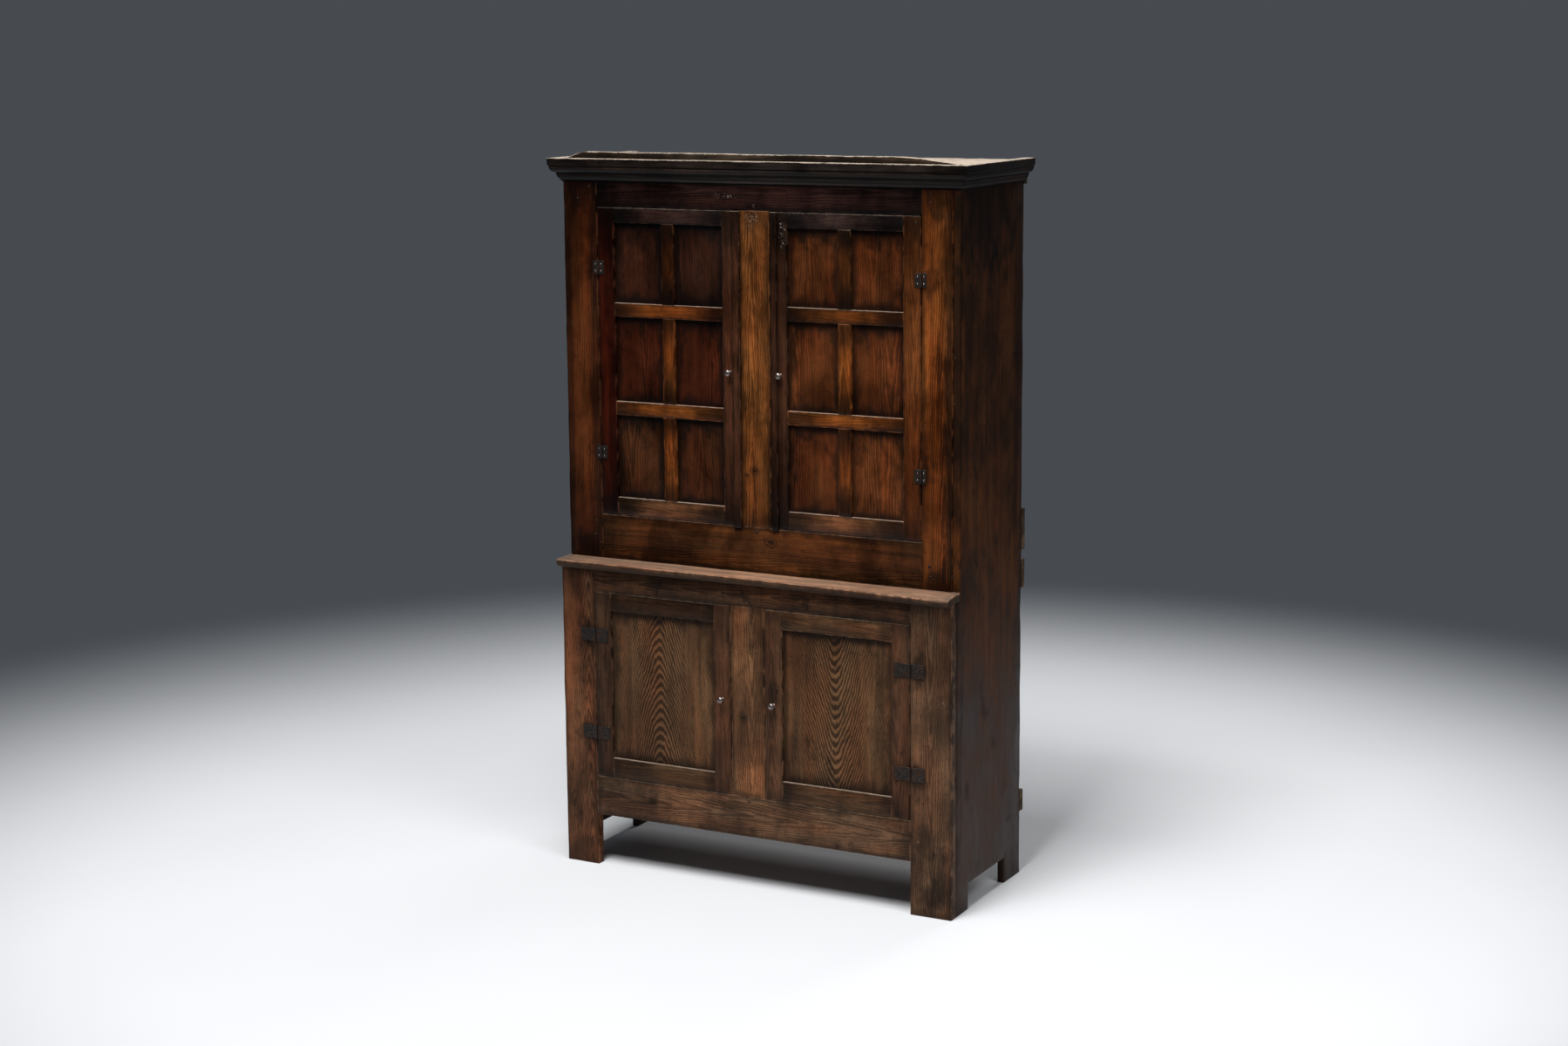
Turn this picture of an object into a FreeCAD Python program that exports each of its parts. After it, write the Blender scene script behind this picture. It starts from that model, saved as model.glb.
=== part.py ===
"""Court cupboard: two stages of framed oak on plank sides, with four panelled doors.

The front faces -Y, +Z is up, and the origin lies on the floor under the middle of the whole
cupboard. Every driving size is a cell of the sheet. Lengths are in millimetres.
"""
import FreeCAD, Part
import os
import types

import Sketcher
from FreeCAD import Placement, Rotation, Vector

SIZES = [
    ("case_width", 1146, "across the outer faces of the side planks"),
    ("case_depth", 442, "from the lower face to the rear edge of the sides"),
    ("rim_height", 1900, "floor to the top of the cornice"),
    ("waist_height", 840, "floor to the top of the waist ledge"),
    ("upper_setback", 47, "upper face behind the lower face"),
    ("side_thickness", 20, "side planks"),
    ("front_foot_depth", 106, "foot of a side plank at the floor, front"),
    ("rear_foot_depth", 104, "foot of a side plank at the floor, rear"),
    ("foot_rake", 12, "lean of the front foot's rear edge"),
    ("side_arch_height", 68, "cut-out between the feet of a side plank"),
    ("arch_corner_depth", 34, "run of the round corner of the cut-out"),
    ("arch_corner_rise", 26, "rise of the round corner of the cut-out"),
    ("lower_frame_thickness", 26, "stiles and rails of the lower face, and the lower doors"),
    ("lower_left_stile_width", 100, ""),
    ("lower_right_stile_width", 115, ""),
    ("lower_centre_stile_width", 97, ""),
    ("lower_centre_offset", 8, "lower centre stile, left of the middle"),
    ("apron_height", 141, "floor to the lower edge of the bottom rail"),
    ("lower_bottom_rail_width", 107, ""),
    ("lower_top_rail_width", 61, ""),
    ("upper_frame_thickness", 24, "stiles and rails of the upper face, and the upper doors"),
    ("upper_left_stile_width", 103, ""),
    ("upper_right_stile_width", 86, ""),
    ("upper_centre_stile_width", 87, ""),
    ("upper_centre_offset", 2.5, "upper centre stile, left of the middle"),
    ("upper_bottom_rail_width", 118, ""),
    ("upper_top_rail_width", 102, "most of it behind the cornice"),
    ("frame_tenon_length", 44, "tenons of both face frames"),
    ("frame_tenon_thickness", 8, ""),
    ("frame_tenon_shoulder", 12, "shoulder above and below a frame tenon"),
    ("peg_radius", 4.8, "riven oak pegs through the frame tenons, over their corners"),
    ("peg_proud", 0.8, "peg heads standing out of the frame"),
    ("ledge_thickness", 22, ""),
    ("ledge_nosing", 25, "ledge in front of the lower face"),
    ("ledge_mould", 9, "moulded under-edge of the ledge"),
    ("ledge_arris", 3, "worn round of the ledge's top edge"),
    ("cornice_height", 61, ""),
    ("cornice_projection", 30, "cornice beyond the case, front and sides"),
    ("top_drop", 5, "top board under the rim of the cornice"),
    ("top_board_thickness", 18, ""),
    ("upstand_height", 22, "upstand above the top board"),
    ("upstand_thickness", 20, ""),
    ("upstand_setback", 8, "upstand behind the upper face"),
    ("upstand_end_gap", 10, "upstand short of the left outer face"),
    ("upstand_left_slope", 55, "run of the worn left end"),
    ("upstand_right_slope", 110, "run of the worn right end"),
    ("upstand_end_height", 7, "upstand at its low ends"),
    ("door_gap", 2, "air round each door"),
    ("upper_door_stile_width", 48, ""),
    ("upper_door_top_rail_width", 39, ""),
    ("upper_door_bottom_rail_width", 47, ""),
    ("mid_rail_width", 36, "middle rails and muntins of the upper doors"),
    ("lower_door_stile_width", 50, ""),
    ("lower_door_top_rail_width", 48, ""),
    ("lower_door_bottom_rail_width", 53, ""),
    ("panel_recess", 8, "panel behind the face of its door"),
    ("groove_width", 6, "panel grooves, and the door tenons that fill them"),
    ("groove_depth", 8, ""),
    ("panel_play", 1, "panel short of the bottom of its groove"),
    ("panel_field", 4, "rise of the panel's field at the back"),
    ("panel_bevel", 18, "bevel round the panel's field"),
    ("door_tenon_length", 30, ""),
    ("joint_fit", 0.1, "clearance of tenons and panels in their grooves"),
    ("left_strip_width", 24, "closing strip of the upper left door"),
    ("right_strip_width", 18, "closing strip of the upper right door"),
    ("strip_proud", 6, "closing strip in front of its door"),
    ("strip_tail", 6, "closing strip below its door"),
    ("left_strip_lap", 3, "left strip over the centre stile"),
    ("right_strip_inset", 3, "right strip back from the door's edge"),
    ("upper_hinge_height", 35, ""),
    ("upper_frame_leaf", 14, ""),
    ("upper_door_leaf", 19, ""),
    ("upper_leaf_thickness", 2, ""),
    ("upper_knuckle_radius", 3.5, ""),
    ("lower_hinge_height", 36, ""),
    ("lower_frame_leaf", 41, ""),
    ("lower_door_leaf", 42, ""),
    ("lower_leaf_thickness", 2.5, ""),
    ("lower_knuckle_radius", 4, ""),
    ("hinge_pin_radius", 1.5, ""),
    ("pin_clearance", 0.15, "pin in the door's knuckle"),
    ("knuckle_gap", 0.4, "between knuckles, and between a knuckle and the wood"),
    ("knob_radius", 9, ""),
    ("knob_length", 20, "knob in front of its door"),
    ("knob_neck_radius", 5, "knob where it meets the door"),
    ("knob_flare", 11, "door to the widest part of the knob"),
    ("knob_band", 4.5, "widest part of the knob, before its worn dome"),
    ("knob_tip_radius", 5, "flat worn on the end of the knob"),
    ("spindle_square", 3.6, "square spindle through the door, riveted over the latch"),
    ("spindle_bore_radius", 3, ""),
    ("latch_length", 42, "spindle to the far end of the latch"),
    ("latch_width", 14, ""),
    ("latch_thickness", 3, ""),
    ("latch_gap", 1, "latch behind the frame"),
    ("knob_inset", 28, "door's closing edge to the knob, upper doors"),
    ("lower_knob_inset", 25, "door's closing edge to the knob, lower doors"),
    ("lock_inset", 36, "closing edge to the keyhole"),
    ("keyhole_rise", 36, "middle of the keyhole above the knob"),
    ("keyhole_radius", 3, ""),
    ("keyhole_slot_length", 9, ""),
    ("keyhole_slot_width", 3, ""),
    ("lock_width", 60, ""),
    ("lock_height", 58, ""),
    ("lock_depth", 14, ""),
    ("lock_wall", 2, ""),
    ("bolt_height", 16, ""),
    ("bolt_thickness", 7, ""),
    ("bolt_travel", 10, ""),
    ("bolt_clearance", 0.5, "bolt in its slot"),
    ("bolt_notch", 8, "talon of the bolt, where the key bears"),
    ("shelf_thickness", 18, "shelves, and the floor of the lower stage"),
    ("shelf_gap", 2, "shelf behind the doors"),
    ("floor_drop", 3, "lower floor under the top edge of its rail"),
    ("cleat_width", 20, ""),
    ("cleat_height", 25, ""),
    ("back_thickness", 18, "upright back boards"),
    ("back_foot", 168, "floor to the lower end of the back"),
    ("back_seam", 1, "between back boards"),
    ("back_lap", 8, "rebate of one back board over the next"),
    ("batten_thickness", 20, "cross battens on the back"),
    ("batten_chamfer", 7, ""),
    ("top_batten_height", 45, ""),
    ("high_batten_height", 111, ""),
    ("high_batten_rise", 38, "batten above the top of the waist ledge"),
    ("low_batten_height", 77, ""),
    ("low_batten_lap", 35, "batten above the underside of the waist ledge"),
    ("foot_batten_height", 58, ""),
    ("overrun", 5, "how far a cut runs past the wood"),
]

BACK_BOARD_COUNT = 5
PEG_SIDES = 8
# Heights of the mid rails' middles, the hinges' lower ends and the knob, as shares of a door.
LEFT_RAIL_SHARES = (0.352, 0.672)
RIGHT_RAIL_SHARES = (0.357, 0.684)
UPPER_HINGE_SHARES = (0.182, 0.785)
LOWER_HINGE_SHARES = (0.202, 0.733)
UPPER_KNOB_SHARE = 0.49
LOWER_KNOB_SHARE = 0.503
# Tops of the shelves, as shares of the room in their stage.
HIGHER_SHELF_SHARE = 0.66
MIDDLE_SHELF_SHARE = 0.4
LOWER_SHELF_SHARE = 0.33
# Share of the projection, share of the height, bow to the next point (0 is straight).
CORNICE_PROFILE_SHARES = [
    (1.00, 1.00, 0), (0.97, 0.70, 0), (0.88, 0.67, 1), (0.62, 0.41, 0), (0.44, 0.38, 0),
    (0.40, 0.32, -1), (0.20, 0.12, 0), (0.06, 0.05, 0), (0.06, 0.00, 0), (0.00, 0.00, 0),
    (0.00, 1.00, 0),
]
BOW_SHARE = 0.72
TOUCHING = 1e-6
# How a sketch numbers its origin and the ends of a line.
ORIGIN_INDEX, START_INDEX, END_INDEX = -1, 1, 2


class Size:
    """A length that carries its value and the sheet expression it comes from."""

    def __init__(self, value, text):
        self.value = value
        self.text = text

    def __add__(self, other):
        other = as_size(other)
        return Size(self.value + other.value, f"({self.text} + {other.text})")

    def __sub__(self, other):
        other = as_size(other)
        return Size(self.value - other.value, f"({self.text} - {other.text})")

    def __mul__(self, share):
        return Size(self.value * share, f"({self.text} * {share})")

    def __truediv__(self, share):
        return Size(self.value / share, f"({self.text} / {share})")

    def __neg__(self):
        return self * -1


def as_size(value):
    """Zero is the only bare length that is let through."""
    if isinstance(value, Size):
        return value
    assert value == 0
    return Size(0, "0")


doc = FreeCAD.newDocument("CourtCupboard")
nodes = []


def make_sheet():
    sheet = doc.addObject("Spreadsheet::Sheet", "Sizes")
    for row, (name, value, meaning) in enumerate(SIZES, start=1):
        sheet.set(f"A{row}", name)
        sheet.set(f"B{row}", str(value))
        sheet.set(f"C{row}", meaning)
        sheet.setAlias(f"B{row}", name)
    doc.recompute()
    return types.SimpleNamespace(**{n: Size(v, f"Sizes.{n}") for n, v, _ in SIZES})


S = make_sheet()


def bind(item, name, size):
    item.setExpression(name, as_size(size).text)


def place(item, x, y, z):
    for axis, size in zip("xyz", (x, y, z)):
        bind(item, f"Placement.Base.{axis}", size)


def block(label, x, y, z):
    """A rectangular piece between three pairs of places."""
    box = doc.addObject("Part::Box", label)
    for name, (low, high) in zip(("Length", "Width", "Height"), (x, y, z)):
        bind(box, name, as_size(high) - low)
    place(box, x[0], y[0], z[0])
    return box


def rod(label, start, axis, radius, length):
    """A round bar from start along axis."""
    bar = doc.addObject("Part::Cylinder", label)
    bar.Placement = Placement(Vector(), Rotation(Vector(0, 0, 1), axis))
    bind(bar, "Radius", radius)
    bind(bar, "Height", length)
    place(bar, *start)
    return bar


def faceted_peg(label, start, radius, length):
    """A riven peg driven in along +Y, with as many flats as the knife left."""
    peg = doc.addObject("Part::Prism", label)
    peg.Polygon = PEG_SIDES
    peg.Placement = Placement(Vector(), Rotation(Vector(0, 0, 1), Vector(0, 1, 0)))
    bind(peg, "Circumradius", radius)
    bind(peg, "Height", length)
    place(peg, *start)
    return peg


def fuse(label, pieces):
    union = doc.addObject("Part::MultiFuse", label)
    union.Shapes = pieces
    union.Refine = True
    return union


def cut(label, piece, tools):
    result = doc.addObject("Part::Cut", label)
    result.Base = piece
    result.Tool = tools[0] if len(tools) == 1 else fuse(f"{label}_tools", tools)
    result.Refine = True
    return result


def group(label, pieces):
    compound = doc.addObject("Part::Compound", label)
    compound.Links = pieces
    return compound


def node(piece, label=None):
    """Marks a finished sub-part, which is written under its label."""
    if label:
        piece.Label = label
    nodes.append(piece)
    return piece


def new_body(label, x=0, y=0, z=0):
    body = doc.addObject("PartDesign::Body", label)
    place(body, x, y, z)
    return body


def arc_middle(start, end, bow):
    """A point of the arc from start to end, whose radius is BOW_SHARE of the chord."""
    chord = end - start
    radius = chord.Length * BOW_SHARE
    rise = radius - (radius ** 2 - (chord.Length / 2) ** 2) ** 0.5
    normal = Vector(chord.y, -chord.x, 0).normalize()
    return (start + end) / 2 + normal * rise * bow


def outline(body, plane, points):
    """A closed sketch on a plane of the body, through points (across, up, bow of the next side)."""
    sketch = body.newObject("Sketcher::SketchObject", f"{body.Label}_outline")
    support = [item for item in body.Origin.OriginFeatures if item.Role == plane][0]
    sketch.AttachmentSupport = (support, [""])
    sketch.MapMode = "FlatFace"
    corners = [(as_size(p[0]), as_size(p[1]), p[2] if len(p) > 2 else 0) for p in points]
    flat = [Vector(across.value, up.value, 0) for across, up, _ in corners]
    for i, (across, up, bow) in enumerate(corners):
        start, end = flat[i], flat[(i + 1) % len(flat)]
        if bow:
            sketch.addGeometry(Part.Arc(start, arc_middle(start, end, bow), end))
        else:
            sketch.addGeometry(Part.LineSegment(start, end))
    # An arc drawn clockwise is stored the other way round, so its ends are looked up.
    ends = []
    for i, corner in enumerate(flat):
        turned = sketch.getPoint(i, START_INDEX).distanceToPoint(corner) > TOUCHING
        ends.append((END_INDEX, START_INDEX) if turned else (START_INDEX, END_INDEX))
    for i, (across, up, bow) in enumerate(corners):
        j = (i + 1) % len(flat)
        sketch.addConstraint(Sketcher.Constraint("Coincident", i, ends[i][1], j, ends[j][0]))
        constrain_point(sketch, i, ends[i][0], across, up)
        if bow:
            run, rise = corners[j][0] - across, corners[j][1] - up
            chord = flat[i].distanceToPoint(flat[j])
            text = f"sqrt({run.text}^2 + {rise.text}^2) * {BOW_SHARE}"
            constrain_radius(sketch, i, Size(chord * BOW_SHARE, text))
    return sketch


def constrain_point(sketch, line, end, across, up):
    """Ties one point of a line to the sketch's origin."""
    for kind, size in (("DistanceX", across), ("DistanceY", up)):
        rule = Sketcher.Constraint(kind, ORIGIN_INDEX, START_INDEX, line, end, size.value)
        bind(sketch, f"Constraints[{sketch.addConstraint(rule)}]", size)


def constrain_radius(sketch, curve, radius):
    rule = Sketcher.Constraint("Radius", curve, radius.value)
    bind(sketch, f"Constraints[{sketch.addConstraint(rule)}]", radius)


def pad(body, sketch, length, backwards=False, both_ways=False):
    feature = body.newObject("PartDesign::Pad", f"{body.Label}_pad")
    feature.Profile = sketch
    bind(feature, "Length", length)
    feature.Reversed = backwards
    feature.Midplane = both_ways
    return feature


def pocket(body, sketch):
    """A cut right through the body, both ways from the sketch."""
    feature = body.newObject("PartDesign::Pocket", f"{body.Label}_pocket")
    feature.Profile = sketch
    feature.Type = "ThroughAll"
    feature.Midplane = True
    return feature


# Places that several pieces share.
HALF = S.case_width / 2
FRONT = (S.ledge_nosing - S.case_depth - S.batten_thickness) / 2
UPPER_FACE = FRONT + S.upper_setback
LOWER_BACK = FRONT + S.lower_frame_thickness
UPPER_BACK = UPPER_FACE + S.upper_frame_thickness
REAR = FRONT + S.case_depth
INNER_REAR = REAR - S.back_thickness
SIDE_INNER = HALF - S.side_thickness
LEDGE_BOTTOM = S.waist_height - S.ledge_thickness
TOP_BOARD_TOP = S.rim_height - S.top_drop
CASE_TOP = TOP_BOARD_TOP - S.top_board_thickness
LOWER_OPENING_BOTTOM = S.apron_height + S.lower_bottom_rail_width
LOWER_OPENING_TOP = LEDGE_BOTTOM - S.lower_top_rail_width
UPPER_OPENING_BOTTOM = S.waist_height + S.upper_bottom_rail_width
UPPER_OPENING_TOP = CASE_TOP - S.upper_top_rail_width


def make_side(label, left, upper_front):
    """A side plank: one board, deeper below the waist, cut out between its feet."""
    body = new_body(label, left, FRONT, 0)
    heel = S.case_depth - S.rear_foot_depth
    toe = S.front_foot_depth + S.foot_rake
    profile = [
        (S.lower_frame_thickness, 0), (S.front_foot_depth, 0),
        (toe, S.side_arch_height - S.arch_corner_rise, -1),
        (toe + S.arch_corner_depth, S.side_arch_height), (heel, S.side_arch_height),
        (heel, 0), (S.case_depth, 0), (S.case_depth, CASE_TOP), (upper_front, CASE_TOP),
        (upper_front, LEDGE_BOTTOM), (S.lower_frame_thickness, LEDGE_BOTTOM),
    ]
    pad(body, outline(body, "YZ_Plane", profile), S.side_thickness)
    return node(body)


def make_face_frame(stage, face, thickness, left, centre, right, foot, low, high, top):
    """Stiles and rails of one stage, tenoned and pegged.

    left, centre and right are the edges of the stiles; foot holds the lower ends of the outer
    stiles and of the bottom rail; low and high bound the door openings.
    """
    back = face + thickness
    tenon_front = face + thickness / 2 - S.frame_tenon_thickness / 2
    tenon_y = (tenon_front + S.joint_fit, tenon_front + S.frame_tenon_thickness - S.joint_fit)
    mortise_y = (tenon_front, tenon_front + S.frame_tenon_thickness)
    rails = {"bottom": (foot[1], low), "top": (high, top)}
    pegs, holes = [], {"left": [], "right": [], "centre": [], "bottom": [], "top": []}

    def add_peg(name, x, z, joined):
        start = (x, face - S.peg_proud, z)
        length = thickness + S.peg_proud
        pegs.append(faceted_peg(f"{stage}_{name}_peg", start, S.peg_radius, length))
        for piece in joined:
            hole = faceted_peg(f"{stage}_{name}_{piece}_hole", start, S.peg_radius, length)
            holes[piece].append(hole)

    mortises = {"left": [], "right": [], "bottom": [], "top": []}
    tenon_z = {}
    for rail, (bottom, upper) in rails.items():
        tenon_z[rail] = (bottom + S.frame_tenon_shoulder, upper - S.frame_tenon_shoulder)
        middle = (bottom + upper) / 2
        mortises["left"].append(block(f"{stage}_left_{rail}_mortise",
                                      (left[1] - S.frame_tenon_length, left[1] + S.overrun),
                                      mortise_y, tenon_z[rail]))
        mortises["right"].append(block(f"{stage}_right_{rail}_mortise",
                                       (right[0] - S.overrun, right[0] + S.frame_tenon_length),
                                       mortise_y, tenon_z[rail]))
        add_peg(f"left_{rail}", left[1] - S.frame_tenon_length / 2, middle, ("left", rail))
        add_peg(f"right_{rail}", right[0] + S.frame_tenon_length / 2, middle, ("right", rail))
    stub = S.frame_tenon_length / 2
    tenon_x = (centre[0] + S.frame_tenon_shoulder, centre[1] - S.frame_tenon_shoulder)
    centre_x = (centre[0] + centre[1]) / 2
    mortises["bottom"].append(block(f"{stage}_bottom_centre_mortise", tenon_x, mortise_y,
                                    (low - stub, low + S.overrun)))
    mortises["top"].append(block(f"{stage}_top_centre_mortise", tenon_x, mortise_y,
                                 (high - S.overrun, high + stub)))
    add_peg("centre_bottom", centre_x, low - stub / 2, ("centre", "bottom"))
    add_peg("centre_top", centre_x, high + stub / 2, ("centre", "top"))

    for name, edges in (("left", left), ("right", right)):
        post = block(f"{stage}_{name}_post", edges, (face, back), (foot[0], top))
        node(cut(f"{stage}_{name}_stile", post, mortises[name] + holes[name]))
    for rail, heights in rails.items():
        bar = block(f"{stage}_{rail}_bar", (left[1], right[0]), (face, back), heights)
        tenon = block(f"{stage}_{rail}_tenon",
                      (left[1] - S.frame_tenon_length, right[0] + S.frame_tenon_length),
                      tenon_y, tenon_z[rail])
        solid = fuse(f"{stage}_{rail}_tenoned", [bar, tenon])
        node(cut(f"{stage}_{rail}_rail", solid, mortises[rail] + holes[rail]))
    post = block(f"{stage}_centre_post", centre, (face, back), (low, high))
    tenon = block(f"{stage}_centre_tenon", tenon_x, tenon_y, (low - stub, high + stub))
    solid = fuse(f"{stage}_centre_tenoned", [post, tenon])
    node(cut(f"{stage}_centre_stile", solid, holes["centre"]))
    return pegs


def make_ledge():
    """The waist ledge: the top of the lower stage and floor of the upper, with a moulded nosing."""
    body = new_body("waist_ledge", -HALF, FRONT, LEDGE_BOTTOM)
    rear = S.case_depth - S.back_thickness
    profile = [
        (-S.ledge_nosing + S.ledge_mould, 0), (rear, 0), (rear, S.ledge_thickness),
        (-S.ledge_nosing + S.ledge_arris, S.ledge_thickness, -1),
        (-S.ledge_nosing, S.ledge_thickness - S.ledge_arris),
        (-S.ledge_nosing, S.ledge_mould, 1),
    ]
    pad(body, outline(body, "YZ_Plane", profile), S.case_width)
    right_front = S.upper_setback
    left_front = S.upper_setback + S.upper_frame_thickness
    past_rear = rear + S.overrun
    for start, end, front in ((-S.overrun, S.side_thickness, left_front),
                              (S.case_width - S.side_thickness, S.case_width + S.overrun,
                               right_front)):
        notch = [(start, front), (end, front), (end, past_rear), (start, past_rear)]
        pocket(body, outline(body, "XY_Plane", notch))
    return node(body)


def cornice_points(direction):
    """The cornice's section, standing out from the case in the given direction."""
    return [(S.cornice_projection * (out * direction), S.cornice_height * up, bow * direction)
            for out, up, bow in CORNICE_PROFILE_SHARES]


def make_cornice():
    """Three mitred lengths round the head of the case."""
    low = S.rim_height - S.cornice_height
    out = S.cornice_projection
    front = new_body("cornice_front", 0, UPPER_FACE, low)
    pad(front, outline(front, "YZ_Plane", cornice_points(-1)), S.case_width + out * 2,
        both_ways=True)
    tip = out + S.overrun
    for side in (-1, 1):
        mitre = [(HALF * side, 0), ((HALF + tip) * side, 0), ((HALF + tip) * side, -tip)]
        pocket(front, outline(front, "XY_Plane", mitre))
    node(front)
    run = S.case_depth - S.upper_setback + out
    returns = []
    for side, name in ((-1, "left_return"), (1, "right_return")):
        piece = new_body(name, HALF * side, UPPER_FACE - out, low)
        pad(piece, outline(piece, "XZ_Plane", cornice_points(side)), run, backwards=True)
        mitre = [(-S.overrun * side, -S.overrun), (tip * side, -S.overrun),
                 (-S.overrun * side, tip)]
        pocket(piece, outline(piece, "XY_Plane", mitre))
        returns.append(piece)
    node(group("cornice_returns", returns))


def make_top():
    node(block("top_board", (-HALF, HALF), (UPPER_FACE, REAR), (CASE_TOP, TOP_BOARD_TOP)))
    body = new_body("top_upstand", -HALF + S.upstand_end_gap, UPPER_FACE + S.upstand_setback,
                    TOP_BOARD_TOP)
    length = S.case_width - S.upstand_end_gap * 2
    profile = [
        (0, 0), (length, 0), (length, S.upstand_end_height),
        (length - S.upstand_right_slope, S.upstand_height * 0.85),
        (length / 2, S.upstand_height), (S.upstand_left_slope, S.upstand_height),
        (0, S.upstand_end_height),
    ]
    pad(body, outline(body, "XZ_Plane", profile), S.upstand_thickness, backwards=True)
    node(body)


def make_inside():
    """Shelves, the lower floor, and the cleats that carry them and the ledge."""
    wide = (-SIDE_INNER, SIDE_INNER)
    upper_depth = (UPPER_BACK + S.shelf_gap, INNER_REAR)
    lower_depth = (LOWER_BACK + S.shelf_gap, INNER_REAR)
    floor_top = LOWER_OPENING_BOTTOM - S.floor_drop
    upper_room = CASE_TOP - S.waist_height
    lower_room = LOWER_OPENING_TOP - LOWER_OPENING_BOTTOM
    tops = {"higher": (upper_depth, S.waist_height + upper_room * HIGHER_SHELF_SHARE),
            "middle": (upper_depth, S.waist_height + upper_room * MIDDLE_SHELF_SHARE),
            "lower": (lower_depth, LOWER_OPENING_BOTTOM + lower_room * LOWER_SHELF_SHARE)}
    shelves = [block(f"{name}_shelf", wide, depth, (top - S.shelf_thickness, top))
               for name, (depth, top) in tops.items()]
    node(group("shelves", shelves))
    node(block("floor_board", wide, (LOWER_BACK, INNER_REAR),
               (floor_top - S.shelf_thickness, floor_top)))
    cleats = []
    levels = [(name, depth, top - S.shelf_thickness) for name, (depth, top) in tops.items()]
    levels += [("waist", lower_depth, LEDGE_BOTTOM),
               ("floor", lower_depth, floor_top - S.shelf_thickness)]
    for name, depth, top in levels:
        for side, inner in (("left", (-SIDE_INNER, -SIDE_INNER + S.cleat_width)),
                            ("right", (SIDE_INNER - S.cleat_width, SIDE_INNER))):
            cleats.append(block(f"{name}_{side}_cleat", inner, depth, (top - S.cleat_height, top)))
    node(group("shelf_cleats", cleats))


def make_back():
    """Upright lapped boards between the sides, held by four cross battens."""
    pitch = S.case_width / BACK_BOARD_COUNT - S.side_thickness * (2 / BACK_BOARD_COUNT)
    half_thick = INNER_REAR + S.back_thickness / 2
    boards = []
    for i in range(BACK_BOARD_COUNT):
        left = pitch * i - SIDE_INNER
        right = left + pitch
        height = (S.back_foot, CASE_TOP)
        cut_height = (S.back_foot - S.overrun, CASE_TOP + S.overrun)
        reach = right
        rebates = []
        if i < BACK_BOARD_COUNT - 1:
            reach = right + S.back_lap - S.back_seam
            rebates.append(block(f"rear_rebate_{i}", (right - S.back_seam, reach + S.overrun),
                                 (half_thick, REAR + S.overrun), cut_height))
        if i > 0:
            rebates.append(block(f"front_rebate_{i}", (left - S.overrun, left + S.back_lap),
                                 (INNER_REAR - S.overrun, half_thick), cut_height))
        board = block(f"back_plank_{i}", (left, reach), (INNER_REAR, REAR), height)
        boards.append(cut(f"back_board_{i}", board, rebates))
    node(group("back_boards", boards))

    battens = []
    top_foot = CASE_TOP - S.top_batten_height
    high_foot = S.waist_height + S.high_batten_rise
    low_foot = LEDGE_BOTTOM + S.low_batten_lap - S.low_batten_height
    for name, foot, height in (("top", top_foot, S.top_batten_height),
                               ("high", high_foot, S.high_batten_height),
                               ("low", low_foot, S.low_batten_height),
                               ("foot", S.back_foot, S.foot_batten_height)):
        body = new_body(f"{name}_batten", -HALF, REAR, foot)
        profile = [(0, 0), (S.batten_thickness - S.batten_chamfer, 0),
                   (S.batten_thickness, S.batten_chamfer), (S.batten_thickness, height),
                   (0, height)]
        pad(body, outline(body, "YZ_Plane", profile), S.case_width)
        battens.append(body)
    node(group("back_battens", battens))


def panel_solid(label, x, z, face):
    """A panel flat in front, with a bevelled field behind, held in its grooves."""
    slip = S.groove_depth - S.panel_play
    front = face + S.panel_recess + S.joint_fit
    back = face + S.panel_recess + S.groove_width - S.joint_fit
    low_x, high_x, low_z, high_z = x[0] - slip, x[1] + slip, z[0] - slip, z[1] + slip
    sheet = block(f"{label}_tongue", (low_x, high_x), (front, back), (low_z, high_z))
    field = doc.addObject("Part::Wedge", f"{label}_field")
    rim = slip + S.joint_fit
    wide, tall = high_x - low_x, high_z - low_z
    limits = {"Xmin": rim, "Xmax": wide - rim, "Zmin": rim, "Zmax": tall - rim,
              "X2min": rim + S.panel_bevel, "X2max": wide - rim - S.panel_bevel,
              "Z2min": rim + S.panel_bevel, "Z2max": tall - rim - S.panel_bevel,
              "Ymin": as_size(0), "Ymax": S.panel_field}
    for name, size in limits.items():
        bind(field, name, size)
    place(field, low_x, back, low_z)
    return fuse(label, [sheet, field])


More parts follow.
